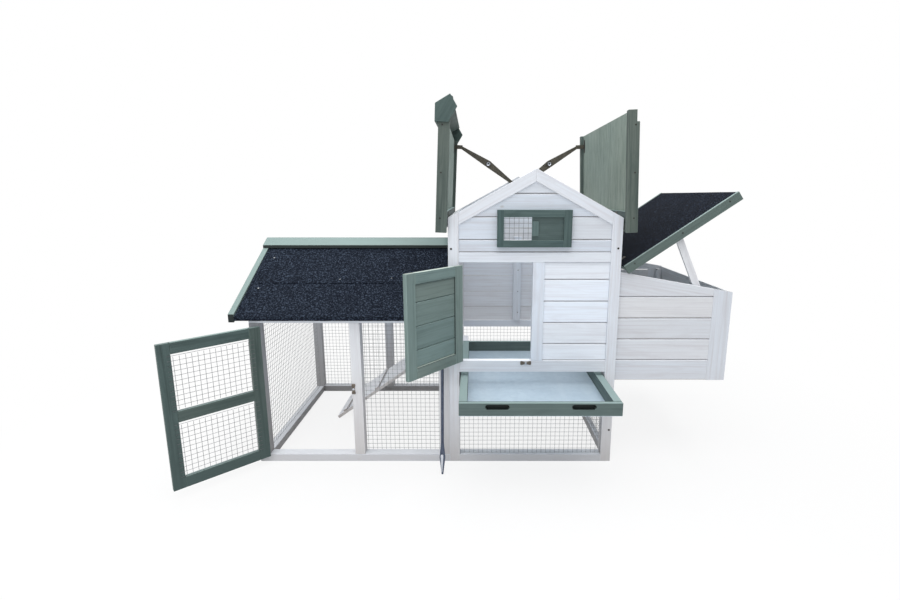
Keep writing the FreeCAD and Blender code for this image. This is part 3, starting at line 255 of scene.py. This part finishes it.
def mineral_felt(name, level):
    """Bitumen felt with dark blue-black granules and paler ones among them."""
    finish = Finish(name, "roof_felt", roughness=0.95, specular=0.08)
    place = finish.place()
    grit = finish.cells(place, 700.0)
    size = finish.parts(finish.cells(place, 700.0, "Color"))
    pale = finish.noise(place, 150.0, 3.0, 0.8)
    patch = finish.noise(place, 14.0, 5.0, 0.65)
    colour = finish.mix(finish.ramp(size[0], 0.1, 0.9), shade(7, 11, 20), shade(25, 31, 43))
    colour = finish.mix(finish.ramp(pale, 0.5, 0.64), colour, shade(78, 87, 102))
    colour = finish.mix(finish.ramp(patch, 0.45, 0.75, 0.0, 0.45), colour, shade(18, 23, 32))
    colour = finish.mix(1.0, colour, level, "MULTIPLY")
    height = finish.math("SUBTRACT", finish.times(size[1], 0.6), grit)
    finish.wear(colour, finish.ramp(size[2], 0.0, 1.0, 0.75, 1.0), height, 0.001, 0.7)
    return finish


def metal(name, slot, base, dull, roughness, metallic, scale):
    """Metal with a patchy surface: dull bloom, fine scratches and uneven polish."""
    finish = Finish(name, slot, metallic=metallic)
    place = finish.place()
    bloom = finish.noise(place, scale, 5.0, 0.65, 0.4)
    speck = finish.noise(place, scale * 14, 3.0, 0.6)
    colour = finish.mix(finish.ramp(bloom, 0.35, 0.7), base, dull)
    colour = finish.mix(finish.ramp(speck, 0.58, 0.75, 0.0, 0.45), colour, dull)
    rough = finish.ramp(bloom, 0.3, 0.75, roughness - 0.1, roughness + 0.15)
    finish.wear(colour, rough, speck, 0.0003, 0.5)
    return finish


def spangled_zinc():
    """Galvanised sheet: large faint crystals, dull clouds and a soft sheen."""
    finish = Finish("spangled_zinc", "galvanised_sheet", metallic=0.2)
    place = finish.place()
    crystal = finish.parts(finish.cells(place, 60.0, "Color"))
    cloud = finish.noise(place, 3.0, 4.0, 0.55, 0.5)
    wipe = finish.noise(finish.stretch(place, (14, 2, 1)), 1.0, 3.0, 0.6)
    colour = finish.mix(finish.ramp(crystal[0], 0.0, 1.0), shade(186, 204, 217), shade(195, 212, 224))
    colour = finish.mix(finish.ramp(cloud, 0.4, 0.75, 0.0, 0.7), colour, shade(172, 190, 204))
    colour = finish.mix(finish.ramp(wipe, 0.5, 0.75, 0.0, 0.4), colour, shade(204, 218, 228))
    rough = finish.ramp(crystal[1], 0.0, 1.0, 0.3, 0.38)
    rough = finish.math("ADD", rough, finish.ramp(cloud, 0.4, 0.8, 0.0, 0.15))
    finish.wear(colour, rough, cloud, 0.0006, 0.2)
    return finish


# White paint. Its painted ground shade darkens it towards the ground, its painted highlight colour lights tops and
# joints, and its dark end colour darkens end grain and painted shade.
WHITE = painted_wood(
    "white_washed_softwood",
    "white_wood",
    cover=0.6,
    coat=shade(223, 228, 236),
    warm=shade(224, 225, 228),
    thin=shade(204, 202, 206),
    knot=shade(184, 174, 166),
    rub=shade(234, 236, 240),
    bleached=shade(246, 248, 252),
    earth=shade(203, 198, 196),
    soaked=shade(132, 124, 118),
)
# Greens: each has its own painted highlight colour for tops, and the door's is brightest, a painted highlight along
# the tops of its frame.
SAGE = sage_paint("sage_painted_softwood", 0.5, shade(146, 166, 164))
STREAKY_SAGE = sage_paint("streaky_sage_softwood", 0.95, shade(134, 153, 150))
DOOR_SAGE = sage_paint("sage_painted_door", 0.55, shade(192, 203, 194))
# Very dark paint for the inside of the hand holes.
STAINED = painted_wood(
    "dark_stained_softwood",
    "sage_wood",
    cover=0.6,
    coat=shade(30, 38, 37),
    warm=shade(34, 40, 38),
    thin=shade(22, 28, 27),
    knot=shade(20, 24, 22),
    rub=shade(60, 70, 67),
    bleached=shade(40, 48, 46),
    earth=shade(28, 35, 34),
    soaked=shade(20, 26, 25),
)
FELT = mineral_felt("mineral_felt", (0.8, 0.85, 0.88, 1.0))
DARK_FELT = mineral_felt("dark_mineral_felt", (0.4, 0.44, 0.5, 1.0))
ZINC = spangled_zinc()
WIRE = metal("galvanised_wire", "galvanised_wire", shade(154, 157, 159), shade(122, 125, 128), 0.42, 0.6, 60.0)
DULL_WIRE = metal("dull_wire", "galvanised_wire", shade(112, 114, 118), shade(88, 90, 95), 0.5, 0.5, 60.0)
BRIGHT = metal("bright_plated_steel", "galvanised_wire", shade(214, 218, 226), shade(174, 180, 190), 0.3, 0.8, 90.0)
IRON = metal("dark_bronzed_iron", "dark_iron", shade(66, 64, 58), shade(92, 88, 78), 0.45, 0.6, 45.0)
BRONZE = metal("light_bronze", "dark_iron", shade(122, 113, 104), shade(92, 84, 76), 0.4, 0.6, 60.0)
STEEL = metal("blued_steel", "dark_iron", shade(62, 70, 88), shade(92, 100, 116), 0.38, 0.7, 50.0)
BLACK = metal("black_screw_steel", "dark_iron", shade(36, 34, 34), shade(58, 54, 50), 0.5, 0.6, 80.0)


# Shapes
def solids(label):
    """The solids of a CAD node, one after the other, each a list of triangles."""
    mesh = frame["nodes"][label].data
    edges, found, present = Counter(), [], []
    for face in mesh.polygons:
        corners = [mesh.vertices[i].co.copy() for i in face.vertices]
        present.append(corners)
        keys = [tuple(round(c * CORNER_STEPS) for c in corner) for corner in corners]
        for a, b in zip(keys, keys[1:] + keys[:1]):
            if edges[(b, a)] > 0:
                edges[(b, a)] -= 1
            else:
                edges[(a, b)] += 1
        edges = +edges
        if not edges:
            found.append(present)
            present = []
    return found


def copy_solid(bm, triangles):
    """One CAD solid as an island of its own, corners merged and flat sides whole."""
    verts = []
    for corners in triangles:
        verts += [bm.verts.new(corner) for corner in corners]
        bm.faces.new(verts[-3:])
    bmesh.ops.remove_doubles(bm, verts=verts, dist=MERGE)
    verts = [vert for vert in verts if vert.is_valid]
    edges = list(dict.fromkeys(edge for vert in verts for edge in vert.link_edges))
    bmesh.ops.dissolve_limit(bm, angle_limit=math.radians(FLAT), verts=verts, edges=edges)


def box(bm, middle, size, turn=Matrix.Identity(4)):
    """A plain box about its middle."""
    bmesh.ops.create_cube(bm, size=1.0, matrix=Matrix.Translation(middle) @ turn @ Matrix.Diagonal((*size, 1)))


def round_edges(bm, edges, radius, segments, clamp=True):
    """Bevels edges to a round."""
    bmesh.ops.bevel(
        bm,
        geom=edges,
        offset=radius,
        offset_type="OFFSET",
        segments=segments,
        profile=0.5,
        affect="EDGES",
        clamp_overlap=clamp,
        material=-1,
    )


def ease(bm, radius, segments=2, least=35):
    """Rounds the sharp edges a little, as sandpaper or a worn press tool does. Least is in degrees."""
    bm.normal_update()
    sharp = [edge for edge in bm.edges if edge.is_manifold and edge.calc_face_angle(0) > math.radians(least)]
    round_edges(bm, sharp, radius, segments)


def ease_iron(bm):
    """The slight rounding of pressed and cut metal."""
    ease(bm, PRESSED, 1, 50)


def middle_of(bm):
    """The mean of a mesh's corners."""
    return sum((vert.co for vert in bm.verts), Vector()) / len(bm.verts)


def resize(bm, scale, shift):
    """Scales a mesh about its middle and then moves it."""
    bmesh.ops.scale(bm, vec=scale, verts=bm.verts, space=Matrix.Translation(-middle_of(bm)))
    bmesh.ops.translate(bm, vec=shift, verts=bm.verts)


def front_face(bm):
    """The largest face that looks to the front."""
    bm.normal_update()
    return min(bm.faces, key=lambda face: face.normal.y * face.calc_area())


def stand(at, facing):
    """A place whose own upward axis points along a direction."""
    return Matrix.Translation(at) @ UP.rotation_difference(facing).to_matrix().to_4x4()


def islands(bm):
    """The vertices of each separate board, always in the same order."""
    left = dict.fromkeys(bm.verts)
    while left:
        seed = next(iter(left))
        del left[seed]
        group, waiting = [seed], [seed]
        while waiting:
            vert = waiting.pop()
            for edge in vert.link_edges:
                other = edge.other_vert(vert)
                if other in left:
                    del left[other]
                    group.append(other)
                    waiting.append(other)
        yield group


def grain_axes(group, turned):
    """The directions along and across a board, from its sharp edges."""
    edges = dict.fromkeys(edge for vert in group for edge in vert.link_edges)
    sharp = [edge for edge in edges if edge.calc_face_angle(0) > math.radians(BOARD_EDGE)]
    rays = [edge.verts[1].co - edge.verts[0].co for edge in sharp]
    along = max(rays, key=lambda ray: ray.length).normalized()
    across = max((ray - along * ray.dot(along) for ray in rays), key=lambda ray: ray.length).normalized()
    return (across, along) if turned else (along, across)


def mark_grain(
    bm,
    label,
    tone,
    tint=(1.0, 1.0, 1.0),
    bleach=1.0,
    turned=False,
    dark_front=False,
    lit_joints=False,
    soft_joints=0.0,
    dark_joints=0.0,
    shadowed=0.0,
):
    """Grain runs along each board's longest edge, and each board has its own tone and its own part of the tree.

    Tone is the range from the darkest to the lightest board, and tint colours them all. Painted top light is the
    strength of the painted highlight on faces that look up. Turned grain is the fine crossways face of plywood.
    Painted front shade darkens the faces that look to the front. Painted joint shading puts a painted highlight on
    the faces of a joint that look up and painted shade on those that look down, a painted joint highlight lightens
    the joints evenly, and dark joints hold dirt. Shadowed frames take painted shade on the faces that look in towards
    their middle. End faces are darker, partly as end grain and partly as painted shade.
    """
    middle = middle_of(bm)
    chance = random.Random(label)
    bm.normal_update()
    grain = bm.verts.layers.float_vector.new("grain")
    toned = bm.verts.layers.float_vector.new("tone")
    arris = bm.faces.layers.float.new("arris")
    sun = bm.faces.layers.float.new("sun")
    ends = bm.faces.layers.float.new("ends")
    groups = sorted(islands(bm), key=lambda group: tuple(round(c, 4) for c in min(v.co[:] for v in group)))
    for group in groups:
        along, across = grain_axes(group, turned)
        turn = Matrix((along, across, along.cross(across))) * (PLY_GRAIN if turned else 1.0)
        shift = Vector([chance.uniform(-9, 9) for _ in range(3)])
        level = chance.uniform(*tone)
        for vert in group:
            vert[grain] = turn @ vert.co + shift
            vert[toned] = level * Vector(tint)
        for face in dict.fromkeys(face for vert in group for face in vert.link_faces):
            width = face.calc_area() / max(edge.calc_length() for edge in face.edges)
            face[arris] = 1.0 if width < ARRIS_WIDTH else 0.0
            # Faces that look up take a painted highlight.
            face[sun] = bleach if width > JOINT_WIDTH and face.normal.z > 0.6 else 0.0
            # End faces are darker, partly as end grain and partly as painted shade.
            face[ends] = END_GRAIN if abs(face.normal.dot(along)) > 0.8 else 0.0
            # Faces that look to the front take painted shade.
            if dark_front and face.normal.dot(FRONT) > 0.8:
                face[ends] = 1.0
            # Joints take painted highlight and painted shade, an even painted highlight, or dirt, as asked.
            if width < JOINT_WIDTH:
                face[sun] = 1.0 if lit_joints and face.normal.z > 0.2 else soft_joints
                face[ends] = 1.0 if lit_joints and face.normal.z < -0.2 else max(face[ends], dark_joints)
            # Faces that look in towards the middle take painted shade.
            looks_in = face.normal.dot(face.calc_center_median() - middle) < -0.05
            if looks_in and face[sun] == 0.0:
                face[ends] = max(face[ends], shadowed)


def piece(name, bm, finish, body, stands_for=None, smooth=30):
    """A finished mesh that rides on a body, and stands for a CAD node if one is named. Smooth is in degrees."""
    mesh = bpy.data.meshes.new(name)
    bm.normal_update()
    bm.to_mesh(mesh)
    bm.free()
    mesh.shade_smooth()
    mesh.set_sharp_from_angle(angle=math.radians(smooth))
    mesh.materials.append(finish.material)
    made = bpy.data.objects.new(name, mesh)
    scene.collection.objects.link(made)
    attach(made, body)
    if stands_for:
        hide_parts(stands_for)
    return made


def body_of(label):
    """The body that a CAD node belongs to."""
    return frame["nodes"][label]["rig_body"]


def timber(label, finish, radius=PLANED, tone=(0.94, 1.03), boards=slice(None), **marks):
    """A node of sawn and painted wood, or some of its boards: eased edges and each board's own grain."""
    bm = bmesh.new()
    for triangles in solids(label)[boards]:
        copy_solid(bm, triangles)
    ease(bm, radius)
    mark_grain(bm, label, tone, **marks)
    made = piece(label + ".timber_" + str(boards.start or 0), bm, finish, body_of(label), label)
    even = made.modifiers.new("even_shading", "WEIGHTED_NORMAL")
    even.weight = 100
    even.keep_sharp = True


def irons(label, *finishes):
    """A node of metal: its solids take the finishes in their order, and the last finish goes on."""
    groups = {}
    for i, triangles in enumerate(solids(label)):
        groups.setdefault(finishes[min(i, len(finishes) - 1)], []).append(triangles)
    stands_for = label
    for finish, group in groups.items():
        bm = bmesh.new()
        for triangles in group:
            copy_solid(bm, triangles)
        ease_iron(bm)
        piece(label + "." + finish.material.name, bm, finish, body_of(label), stands_for)
        stands_for = None


def stay(label):
    """A link of a stay. The upper one ends in an eyelet rivet with a bright rolled rim, with a black disc behind it as
    painted shadow around the rivet.
    """
    link, *rivet = solids(label)
    bm = bmesh.new()
    copy_solid(bm, link)
    ease_iron(bm)
    piece(label + ".link", bm, IRON, body_of(label), label)
    for triangles in rivet:
        # A black disc behind the rivet: painted shadow around it.
        bm = bmesh.new()
        copy_solid(bm, triangles)
        resize(bm, (1.45, 0.3, 1.45), (0, 0.0007, 0))
        ease(bm, WASHER, 1, 50)
        piece(label + ".washer", bm, BLACK, body_of(label))
        bm = bmesh.new()
        copy_solid(bm, triangles)
        front = front_face(bm)
        for rim, depth in ((0.0015, 0.0), (0.002, -0.0008), (0.001, -0.0008)):
            bmesh.ops.inset_region(bm, faces=[front], thickness=rim, depth=depth)
        piece(label + ".eyelet", bm, BRIGHT, body_of(label))


def level_edge(triangles):
    """The longest level edge of a comb of wires, which runs along its net."""
    best = Vector()
    for corners in triangles:
        for a, b in zip(corners, corners[1:] + corners[:1]):
            ray = b - a
            if abs(ray.z) < 1e-5 and ray.length > best.length:
                best = ray
    return best.normalized()


def wire_between(bm, start, end):
    """One straight round wire."""
    ray = end - start
    bmesh.ops.create_cone(
        bm,
        cap_ends=True,
        segments=6,
        radius1=GAUGE / 2,
        radius2=GAUGE / 2,
        depth=ray.length,
        matrix=stand((start + end) / 2, ray),
    )


def mid_depth(comb, facing):
    """How far out the middle of a comb lies."""
    offs = [corner.dot(facing) for triangle in comb for corner in triangle]
    return (min(offs) + max(offs)) / 2


def net(label, finish=WIRE, free_ends=False):
    """Welded wire: each pair of combs gives the place, and round wires take their lines.

    With free ends, the crossing wires run on past the last uprights, and the uprights are cut shorter.
    """
    bm = bmesh.new()
    chance = random.Random(label)
    combs = solids(label)
    for upright, crossing in zip(combs[0::2], combs[1::2]):
        across = level_edge(upright if level_edge(upright).length else crossing)
        facing = across.cross(UP)
        back, front = facing * mid_depth(upright, facing), facing * mid_depth(crossing, facing)
        points = [corner for triangle in upright + crossing for corner in triangle]
        reach = [point.dot(across) for point in points]
        heights = [point.z for point in points]
        left, right, low, high = min(reach), max(reach), min(heights), max(heights)
        trim = free_ends * CUT_SHORT
        count = max(1, round((right - left) / PITCH))
        for i in range(free_ends, count + 1 - free_ends):
            at = left + GAUGE / 2 + i * (right - left - GAUGE) / count
            ends = [across * (at + chance.uniform(-WAVER, WAVER)) + back for _ in range(2)]
            wire_between(bm, ends[0] + UP * (low + trim), ends[1] + UP * (high - trim))
        count = max(1, round((high - low) / PITCH))
        for i in range(free_ends, count + 1 - free_ends):
            at = low + GAUGE / 2 + i * (high - low - GAUGE) / count
            ends = [front + UP * (at + chance.uniform(-WAVER, WAVER)) for _ in range(2)]
            wire_between(bm, ends[0] + across * left, ends[1] + across * right)
    piece(label + ".wires", bm, finish, body_of(label), label, 60)


def felt(label, finish, seed):
    """A sheet of felt, cut into small fields, laid a little uneven and pressed into its panel."""
    field, waves, wave_height, pressed = 0.035, 14, 0.0005, 0.0004
    bm = bmesh.new()
    for triangles in solids(label):
        copy_solid(bm, triangles)
    for axis in range(3):
        normal = Vector([1.0 if i == axis else 0.0 for i in range(3)])
        spots = [vert.co[axis] for vert in bm.verts]
        low, length = min(spots), max(spots) - min(spots)
        cuts = int(length / field)
        for i in range(1, cuts):
            geom = bm.verts[:] + bm.edges[:] + bm.faces[:]
            at = normal * (low + length * i / cuts)
            bmesh.ops.bisect_plane(bm, geom=geom, dist=1e-5, plane_co=at, plane_no=normal)
    bm.normal_update()
    for vert in bm.verts:
        lift = noise.noise(vert.co * waves + Vector((seed, 0, 0))) * wave_height
        vert.co += vert.normal * (lift - pressed)
    piece(label + ".sheet", bm, finish, body_of(label), label)


class Fasteners:
    """Heads of screws and nails that one body carries."""

    def __init__(self, name, body, finish):
        self.name, self.body, self.finish = name, body, finish
        self.bm = bmesh.new()

    def head(self, at, facing, size, segments, rise):
        """A round disc that stands a little off the surface."""
        where = stand(Vector(at), facing)
        made = bmesh.ops.create_circle(self.bm, cap_ends=True, segments=segments, radius=size / 2, matrix=where)
        face = made["verts"][0].link_faces[0]
        raised = bmesh.ops.extrude_discrete_faces(self.bm, faces=[face])["faces"][0]
        bmesh.ops.translate(self.bm, verts=raised.verts, vec=where.to_3x3() @ Vector((0, 0, rise)))
        return raised

    def inset(self, face, width, depth):
        bmesh.ops.inset_region(self.bm, faces=[face], thickness=width, depth=depth)

    def screw(self, at, facing, size):
        """A low head with an eased rim and a socket."""
        raised = self.head(at, facing, size, 12, 0.0007)
        self.inset(raised, size * 0.16, 0.0003)
        self.inset(raised, size * 0.1, -0.0009)

    def nail(self, at, facing, size):
        """A clout nail: a thin wide head with an eased rim."""
        raised = self.head(at, facing, size, 10, 0.0009)
        self.inset(raised, size * 0.18, 0.0004)

    def fix(self):
        piece(self.name, self.bm, self.finish, self.body)


def pocket(name, middle, size, body, finish):
    """The dark inside of a hand hole, open to the front."""
    bm = bmesh.new()
    box(bm, middle, size)
    corners = [edge for edge in bm.edges if abs((edge.verts[1].co - edge.verts[0].co).y) > size[1] / 2]
    round_edges(bm, corners, size[2] * 0.48, 6, clamp=False)
    bmesh.ops.delete(bm, geom=[front_face(bm)], context="FACES_ONLY")
    bmesh.ops.reverse_faces(bm, faces=bm.faces[:])
    mark_grain(bm, name, (0.95, 1.05))
    piece(name, bm, finish, body)


# Tints of whole pieces
COOL = (0.97, 1.0, 1.03)
WARM = (1.04, 1.0, 0.96)
BLUISH = (0.92, 1.0, 1.03)

# Timber of the frame
for label in ("house_posts", "run_rafters"):
    timber(label, WHITE, SAWN, (0.92, 0.99))
timber("house_rails", WHITE, SAWN, (0.93, 0.99), slice(0, 11), tint=COOL)
# This rail has a low tone: painted shade.
timber("house_rails", WHITE, SAWN, (0.6, 0.64), slice(11, 12))
timber("house_rails", WHITE, SAWN, (0.93, 0.99), slice(12, 14))
timber("nest_battens", WHITE, SAWN, (0.86, 0.92), bleach=0.0)
# The first post has a low tone: painted shade.
for first, last, tone in ((0, 1, (0.44, 0.46)), (1, 3, (0.92, 0.99)), (3, 4, (0.64, 0.68)), (4, 6, (0.74, 0.8))):
    timber("run_posts", WHITE, SAWN, tone, slice(first, last))
timber("run_rails", WHITE, SAWN, (0.94, 1.0), slice(0, 2), tint=COOL)
# Rails 2 and 4 have low tones: painted shade.
for rail, tone in ((2, (0.5, 0.54)), (3, (0.9, 0.96)), (4, (0.52, 0.56)), (5, (0.9, 0.96))):
    timber("run_rails", WHITE, SAWN, tone, slice(rail, rail + 1))
timber("house_rakes", WHITE, SAWN, (0.9, 0.95))
# Painted highlight and painted shade in the joints of these boards and the nest front's.
timber("house_front_boards", WHITE, PLANED, (1.03, 1.1), tint=COOL, lit_joints=True)
# The gable boards have a lower tone: painted shade.
timber("house_gable_boards", WHITE, PLANED, (0.83, 0.9), tint=COOL, lit_joints=True)
for label in ("house_left_boards", "house_right_boards", "run_gable_boards"):
    timber(label, WHITE, MATCHED)
timber("nest_front_wall", WHITE, PLANED, (0.82, 0.92), slice(0, 5), lit_joints=True)
timber("nest_front_wall", WHITE, PLANED, (0.84, 0.9), slice(5, 6))
for label in ("nest_rear_wall", "nest_end_wall", "nest_floor"):
    timber(label, WHITE, NEST_BOARD, (0.82, 0.92))
timber("house_rear_boards", WHITE, PLANED, (0.94, 1.0), dark_joints=0.6)
timber("tray_runners", WHITE)
timber("ramp_board", WHITE, BATTEN, (0.98, 1.02), tint=WARM)
timber("ramp_cleats", WHITE, BATTEN, (0.9, 0.96), tint=WARM)
timber("run_roof_panels", WHITE, THIN)
# The trim's faces that look to the front take painted shade.
timber("run_roof_trim", STREAKY_SAGE, BATTEN, (0.9, 0.94), dark_front=True)
timber("window_frame", STREAKY_SAGE, FINE, (0.56, 0.6), tint=(0.86, 1.0, 1.04))

# Timber that moves
timber("window_shutter", SAGE, THIN, (0.54, 0.58), slice(0, 1), tint=BLUISH)
timber("window_shutter", SAGE, THIN, (0.74, 0.78), slice(1, 2), tint=BLUISH)
# Painted shade on the frame's inner edges around the panel.
timber("house_door_frame", DOOR_SAGE, DOOR_EDGE, (1.16, 1.26), shadowed=0.8)
# An even painted highlight in the joints of the door boards.
timber("house_door_boards", SAGE, MATCHED, (1.1, 1.22), soft_joints=0.45)
timber("run_door_frame", STREAKY_SAGE, DOOR_EDGE, (0.5, 0.58), tint=(0.92, 1.0, 1.0))
for side in ("left", "right"):
    panel = side + "_roof_panel"
    timber(panel, STREAKY_SAGE, PLY, (1.66, 1.72), slice(0, 1), tint=(1.09, 1.0, 0.93), turned=True)
    timber(panel, SAGE, PLANED, (0.4, 0.44), slice(1, 2), tint=COOL)
    timber(side + "_roof_barges", STREAKY_SAGE, PLANED, (0.62, 0.67), tint=WARM)
timber("ridge_cap", STREAKY_SAGE, PLANED, (0.74, 0.8))
timber("apex_plates", SAGE, PLANED, (0.5, 0.55), tint=(0.85, 1.0, 1.02))
timber("nest_lid_panel", SAGE, PLY, (1.3, 1.36), tint=WARM)
timber("nest_lid_barges", SAGE, PLANED, (0.68, 0.73), tint=WARM)
timber("lid_prop", WHITE, FINE)
timber("tray_frame", SAGE, FINE, (0.7, 0.74))
# Hand holes lined with the very dark paint.
for side, x in (("left", -0.155), ("right", 0.155)):
    pocket("tray_pocket_" + side, (x, -0.253, 0.3705), (0.0868, 0.0135, 0.0188), "tray", STAINED)

# Wire, felt and sheet
for label in ("house_mesh", "run_mesh"):
    net(label)
net("window_mesh", DULL_WIRE)
net("run_door_mesh", DULL_WIRE, free_ends=True)
for seed, label in enumerate(("run_roof_felt", "left_roof_felt", "right_roof_felt")):
    felt(label, FELT, seed)
felt("nest_lid_felt", DARK_FELT, 3)
irons("tray_sheet", ZINC)

# Irons
for label in ("house_door_hinges", "run_door_hinges", "nest_lid_hinges", "fixed_irons"):
    irons(label, IRON)
irons("tray_scraper", STEEL)
# A bright strip on the blade's face: a painted highlight.
blade = bmesh.new()
copy_solid(blade, solids("tray_scraper")[0])
resize(blade, (0.45, 1.0, 0.85), (-0.002, -0.0004, 0.0))
piece("scraper_ground_face", blade, BRIGHT, body_of("tray_scraper"))
for label in ("house_turn_button", "run_turn_button"):
    irons(label, BRONZE, BRIGHT)
for side, sign in (("left", -1), ("right", 1)):
    plate = bmesh.new()
    lean = Matrix.Rotation(math.radians(-sign * 2.4), 4, "Y")
    box(plate, (sign * 0.3414, 0.719, 1.365), (0.0016, 0.02, 0.064), lean)
    ease(plate, STAY_PLATE, 1)
    piece(side + "_stay_plate", plate, BLACK, side + "_roof")
    irons(side + "_roof_irons", IRON)
    stay(side + "_stay_upper")
    stay(side + "_stay_lower")

# Fasteners
screws = Fasteners("frame_screws", "frame", BLACK)
for x, z in ((-0.328, 0.907), (0.3245, 0.909), (0.328, 0.1435)):
    screws.screw((x, 0.0, z), FRONT, 0.0085)
for z in (0.708, 0.588, 0.469):
    screws.screw((0.005, 0.722, z), FRONT, 0.005)
screws.screw((0.762, 0.703, 0.714), FRONT, 0.006)
screws.fix()
for side, sign, face in (("left", -1, -0.03), ("right", 1, -0.029)):
    nails = Fasteners(side + "_barge_nails", side + "_roof", BLACK)
    for x, z in ((0.354, 1.367), (0.3615, 1.196), (0.368, 1.0275)):
        nails.nail((sign * x, face, z), FRONT, 0.006)
    nails.fix()
nails = Fasteners("felt_nails", "frame", WIRE)
for at, size in (
    ((-1.1413, 0.2781, 0.8358), 0.0075),
    ((-1.1455, 0.1106, 0.7293), 0.0075),
    ((-0.8133, 0.156, 0.7589), 0.005),
    ((-0.5928, 0.1619, 0.7626), 0.005),
):
    nails.nail(Vector(at) - 0.0006 * RUN_SLOPE, RUN_SLOPE, size)
nails.fix()
nails = Fasteners("lid_barge_nails", "nest_lid", BLACK)
for x, z in ((0.7434, 1.0895), (0.572, 0.969), (0.3934, 0.8491)):
    nails.nail((x, 0.002, z), FRONT, 0.006)
nails.fix()

# Floor, which glows white to the camera a little way off and keeps the shadow near the object
floor_mesh = bpy.data.meshes.new("floor")
bm = bmesh.new()
bmesh.ops.create_grid(bm, x_segments=1, y_segments=1, size=14.0, matrix=Matrix.Translation((0, 4, 0)))
bm.to_mesh(floor_mesh)
bm.free()
floor = bpy.data.objects.new("floor", floor_mesh)
scene.collection.objects.link(floor)
ground = Finish("pale_floor", None, roughness=0.9, specular=0.1)
ground.join(ground.shader.inputs["Base Color"], (0.8, 0.8, 0.8, 1.0))
away = ground.node("VectorMath", {0: ground.place(), 1: (-0.3, 0.35, 0.0)}, operation="DISTANCE").outputs["Value"]
share = ground.times(ground.seen(), ground.ramp(away, 1.0, 2.2, 0.84, 1.0))
glow = ground.node("Emission", {"Color": (1.0, 1.0, 1.0, 1.0), "Strength": 1.0})
blend = ground.node("MixShader", {0: share, 1: ground.shader.outputs[0], 2: glow.outputs[0]})
ground.join(ground.tree.nodes["Material Output"].inputs[0], blend.outputs[0])
floor_mesh.materials.append(ground.material)

# White studio: soft cool light on the object, plain white behind it
scene.world = bpy.data.worlds.new("studio")
scene.world.use_nodes = True
studio = Nodes(scene.world.node_tree)
studio.tree.nodes.clear()
soft = studio.node("Background", {"Color": (0.94, 0.97, 1.0, 1.0), "Strength": 0.56})
white = studio.node("Background", {"Color": (1.0, 1.0, 1.0, 1.0), "Strength": 1.0})
choose = studio.node("MixShader", {0: studio.seen(), 1: soft.outputs[0], 2: white.outputs[0]})
studio.node("OutputWorld", {0: choose.outputs[0]})


def softbox(name, at, target, size, power):
    """A square lamp that points at a target."""
    lamp = bpy.data.lights.new(name, "AREA")
    lamp.size = size
    lamp.energy = power
    made = bpy.data.objects.new(name, lamp)
    made.location = at
    made.rotation_euler = (Vector(target) - Vector(at)).to_track_quat("-Z", "Y").to_euler()
    scene.collection.objects.link(made)


softbox("overhead_softbox", (-0.3, -0.2, 3.8), (-0.3, 0.2, 0.0), 4.0, 150.0)
softbox("left_softbox", (-4.0, 0.4, 0.9), (-0.6, 0.5, 0.25), 1.4, 26.0)
softbox("front_softbox", (-1.6, -4.2, 2.4), (-0.2, 0.2, 0.7), 2.6, 46.0)

camera = bpy.data.objects.new("camera", bpy.data.cameras.new("camera"))
camera.location = (-0.2381, -1.7954, 1.1101)
camera.rotation_euler = (math.radians(79.5), 0, 0)
camera.data.sensor_fit = "HORIZONTAL"
camera.data.sensor_width = 36.0
camera.data.lens = 18.482
camera.data.shift_x = -0.0267
camera.data.shift_y = -0.0204
scene.collection.objects.link(camera)
scene.camera = camera
scene.view_settings.view_transform = "Standard"
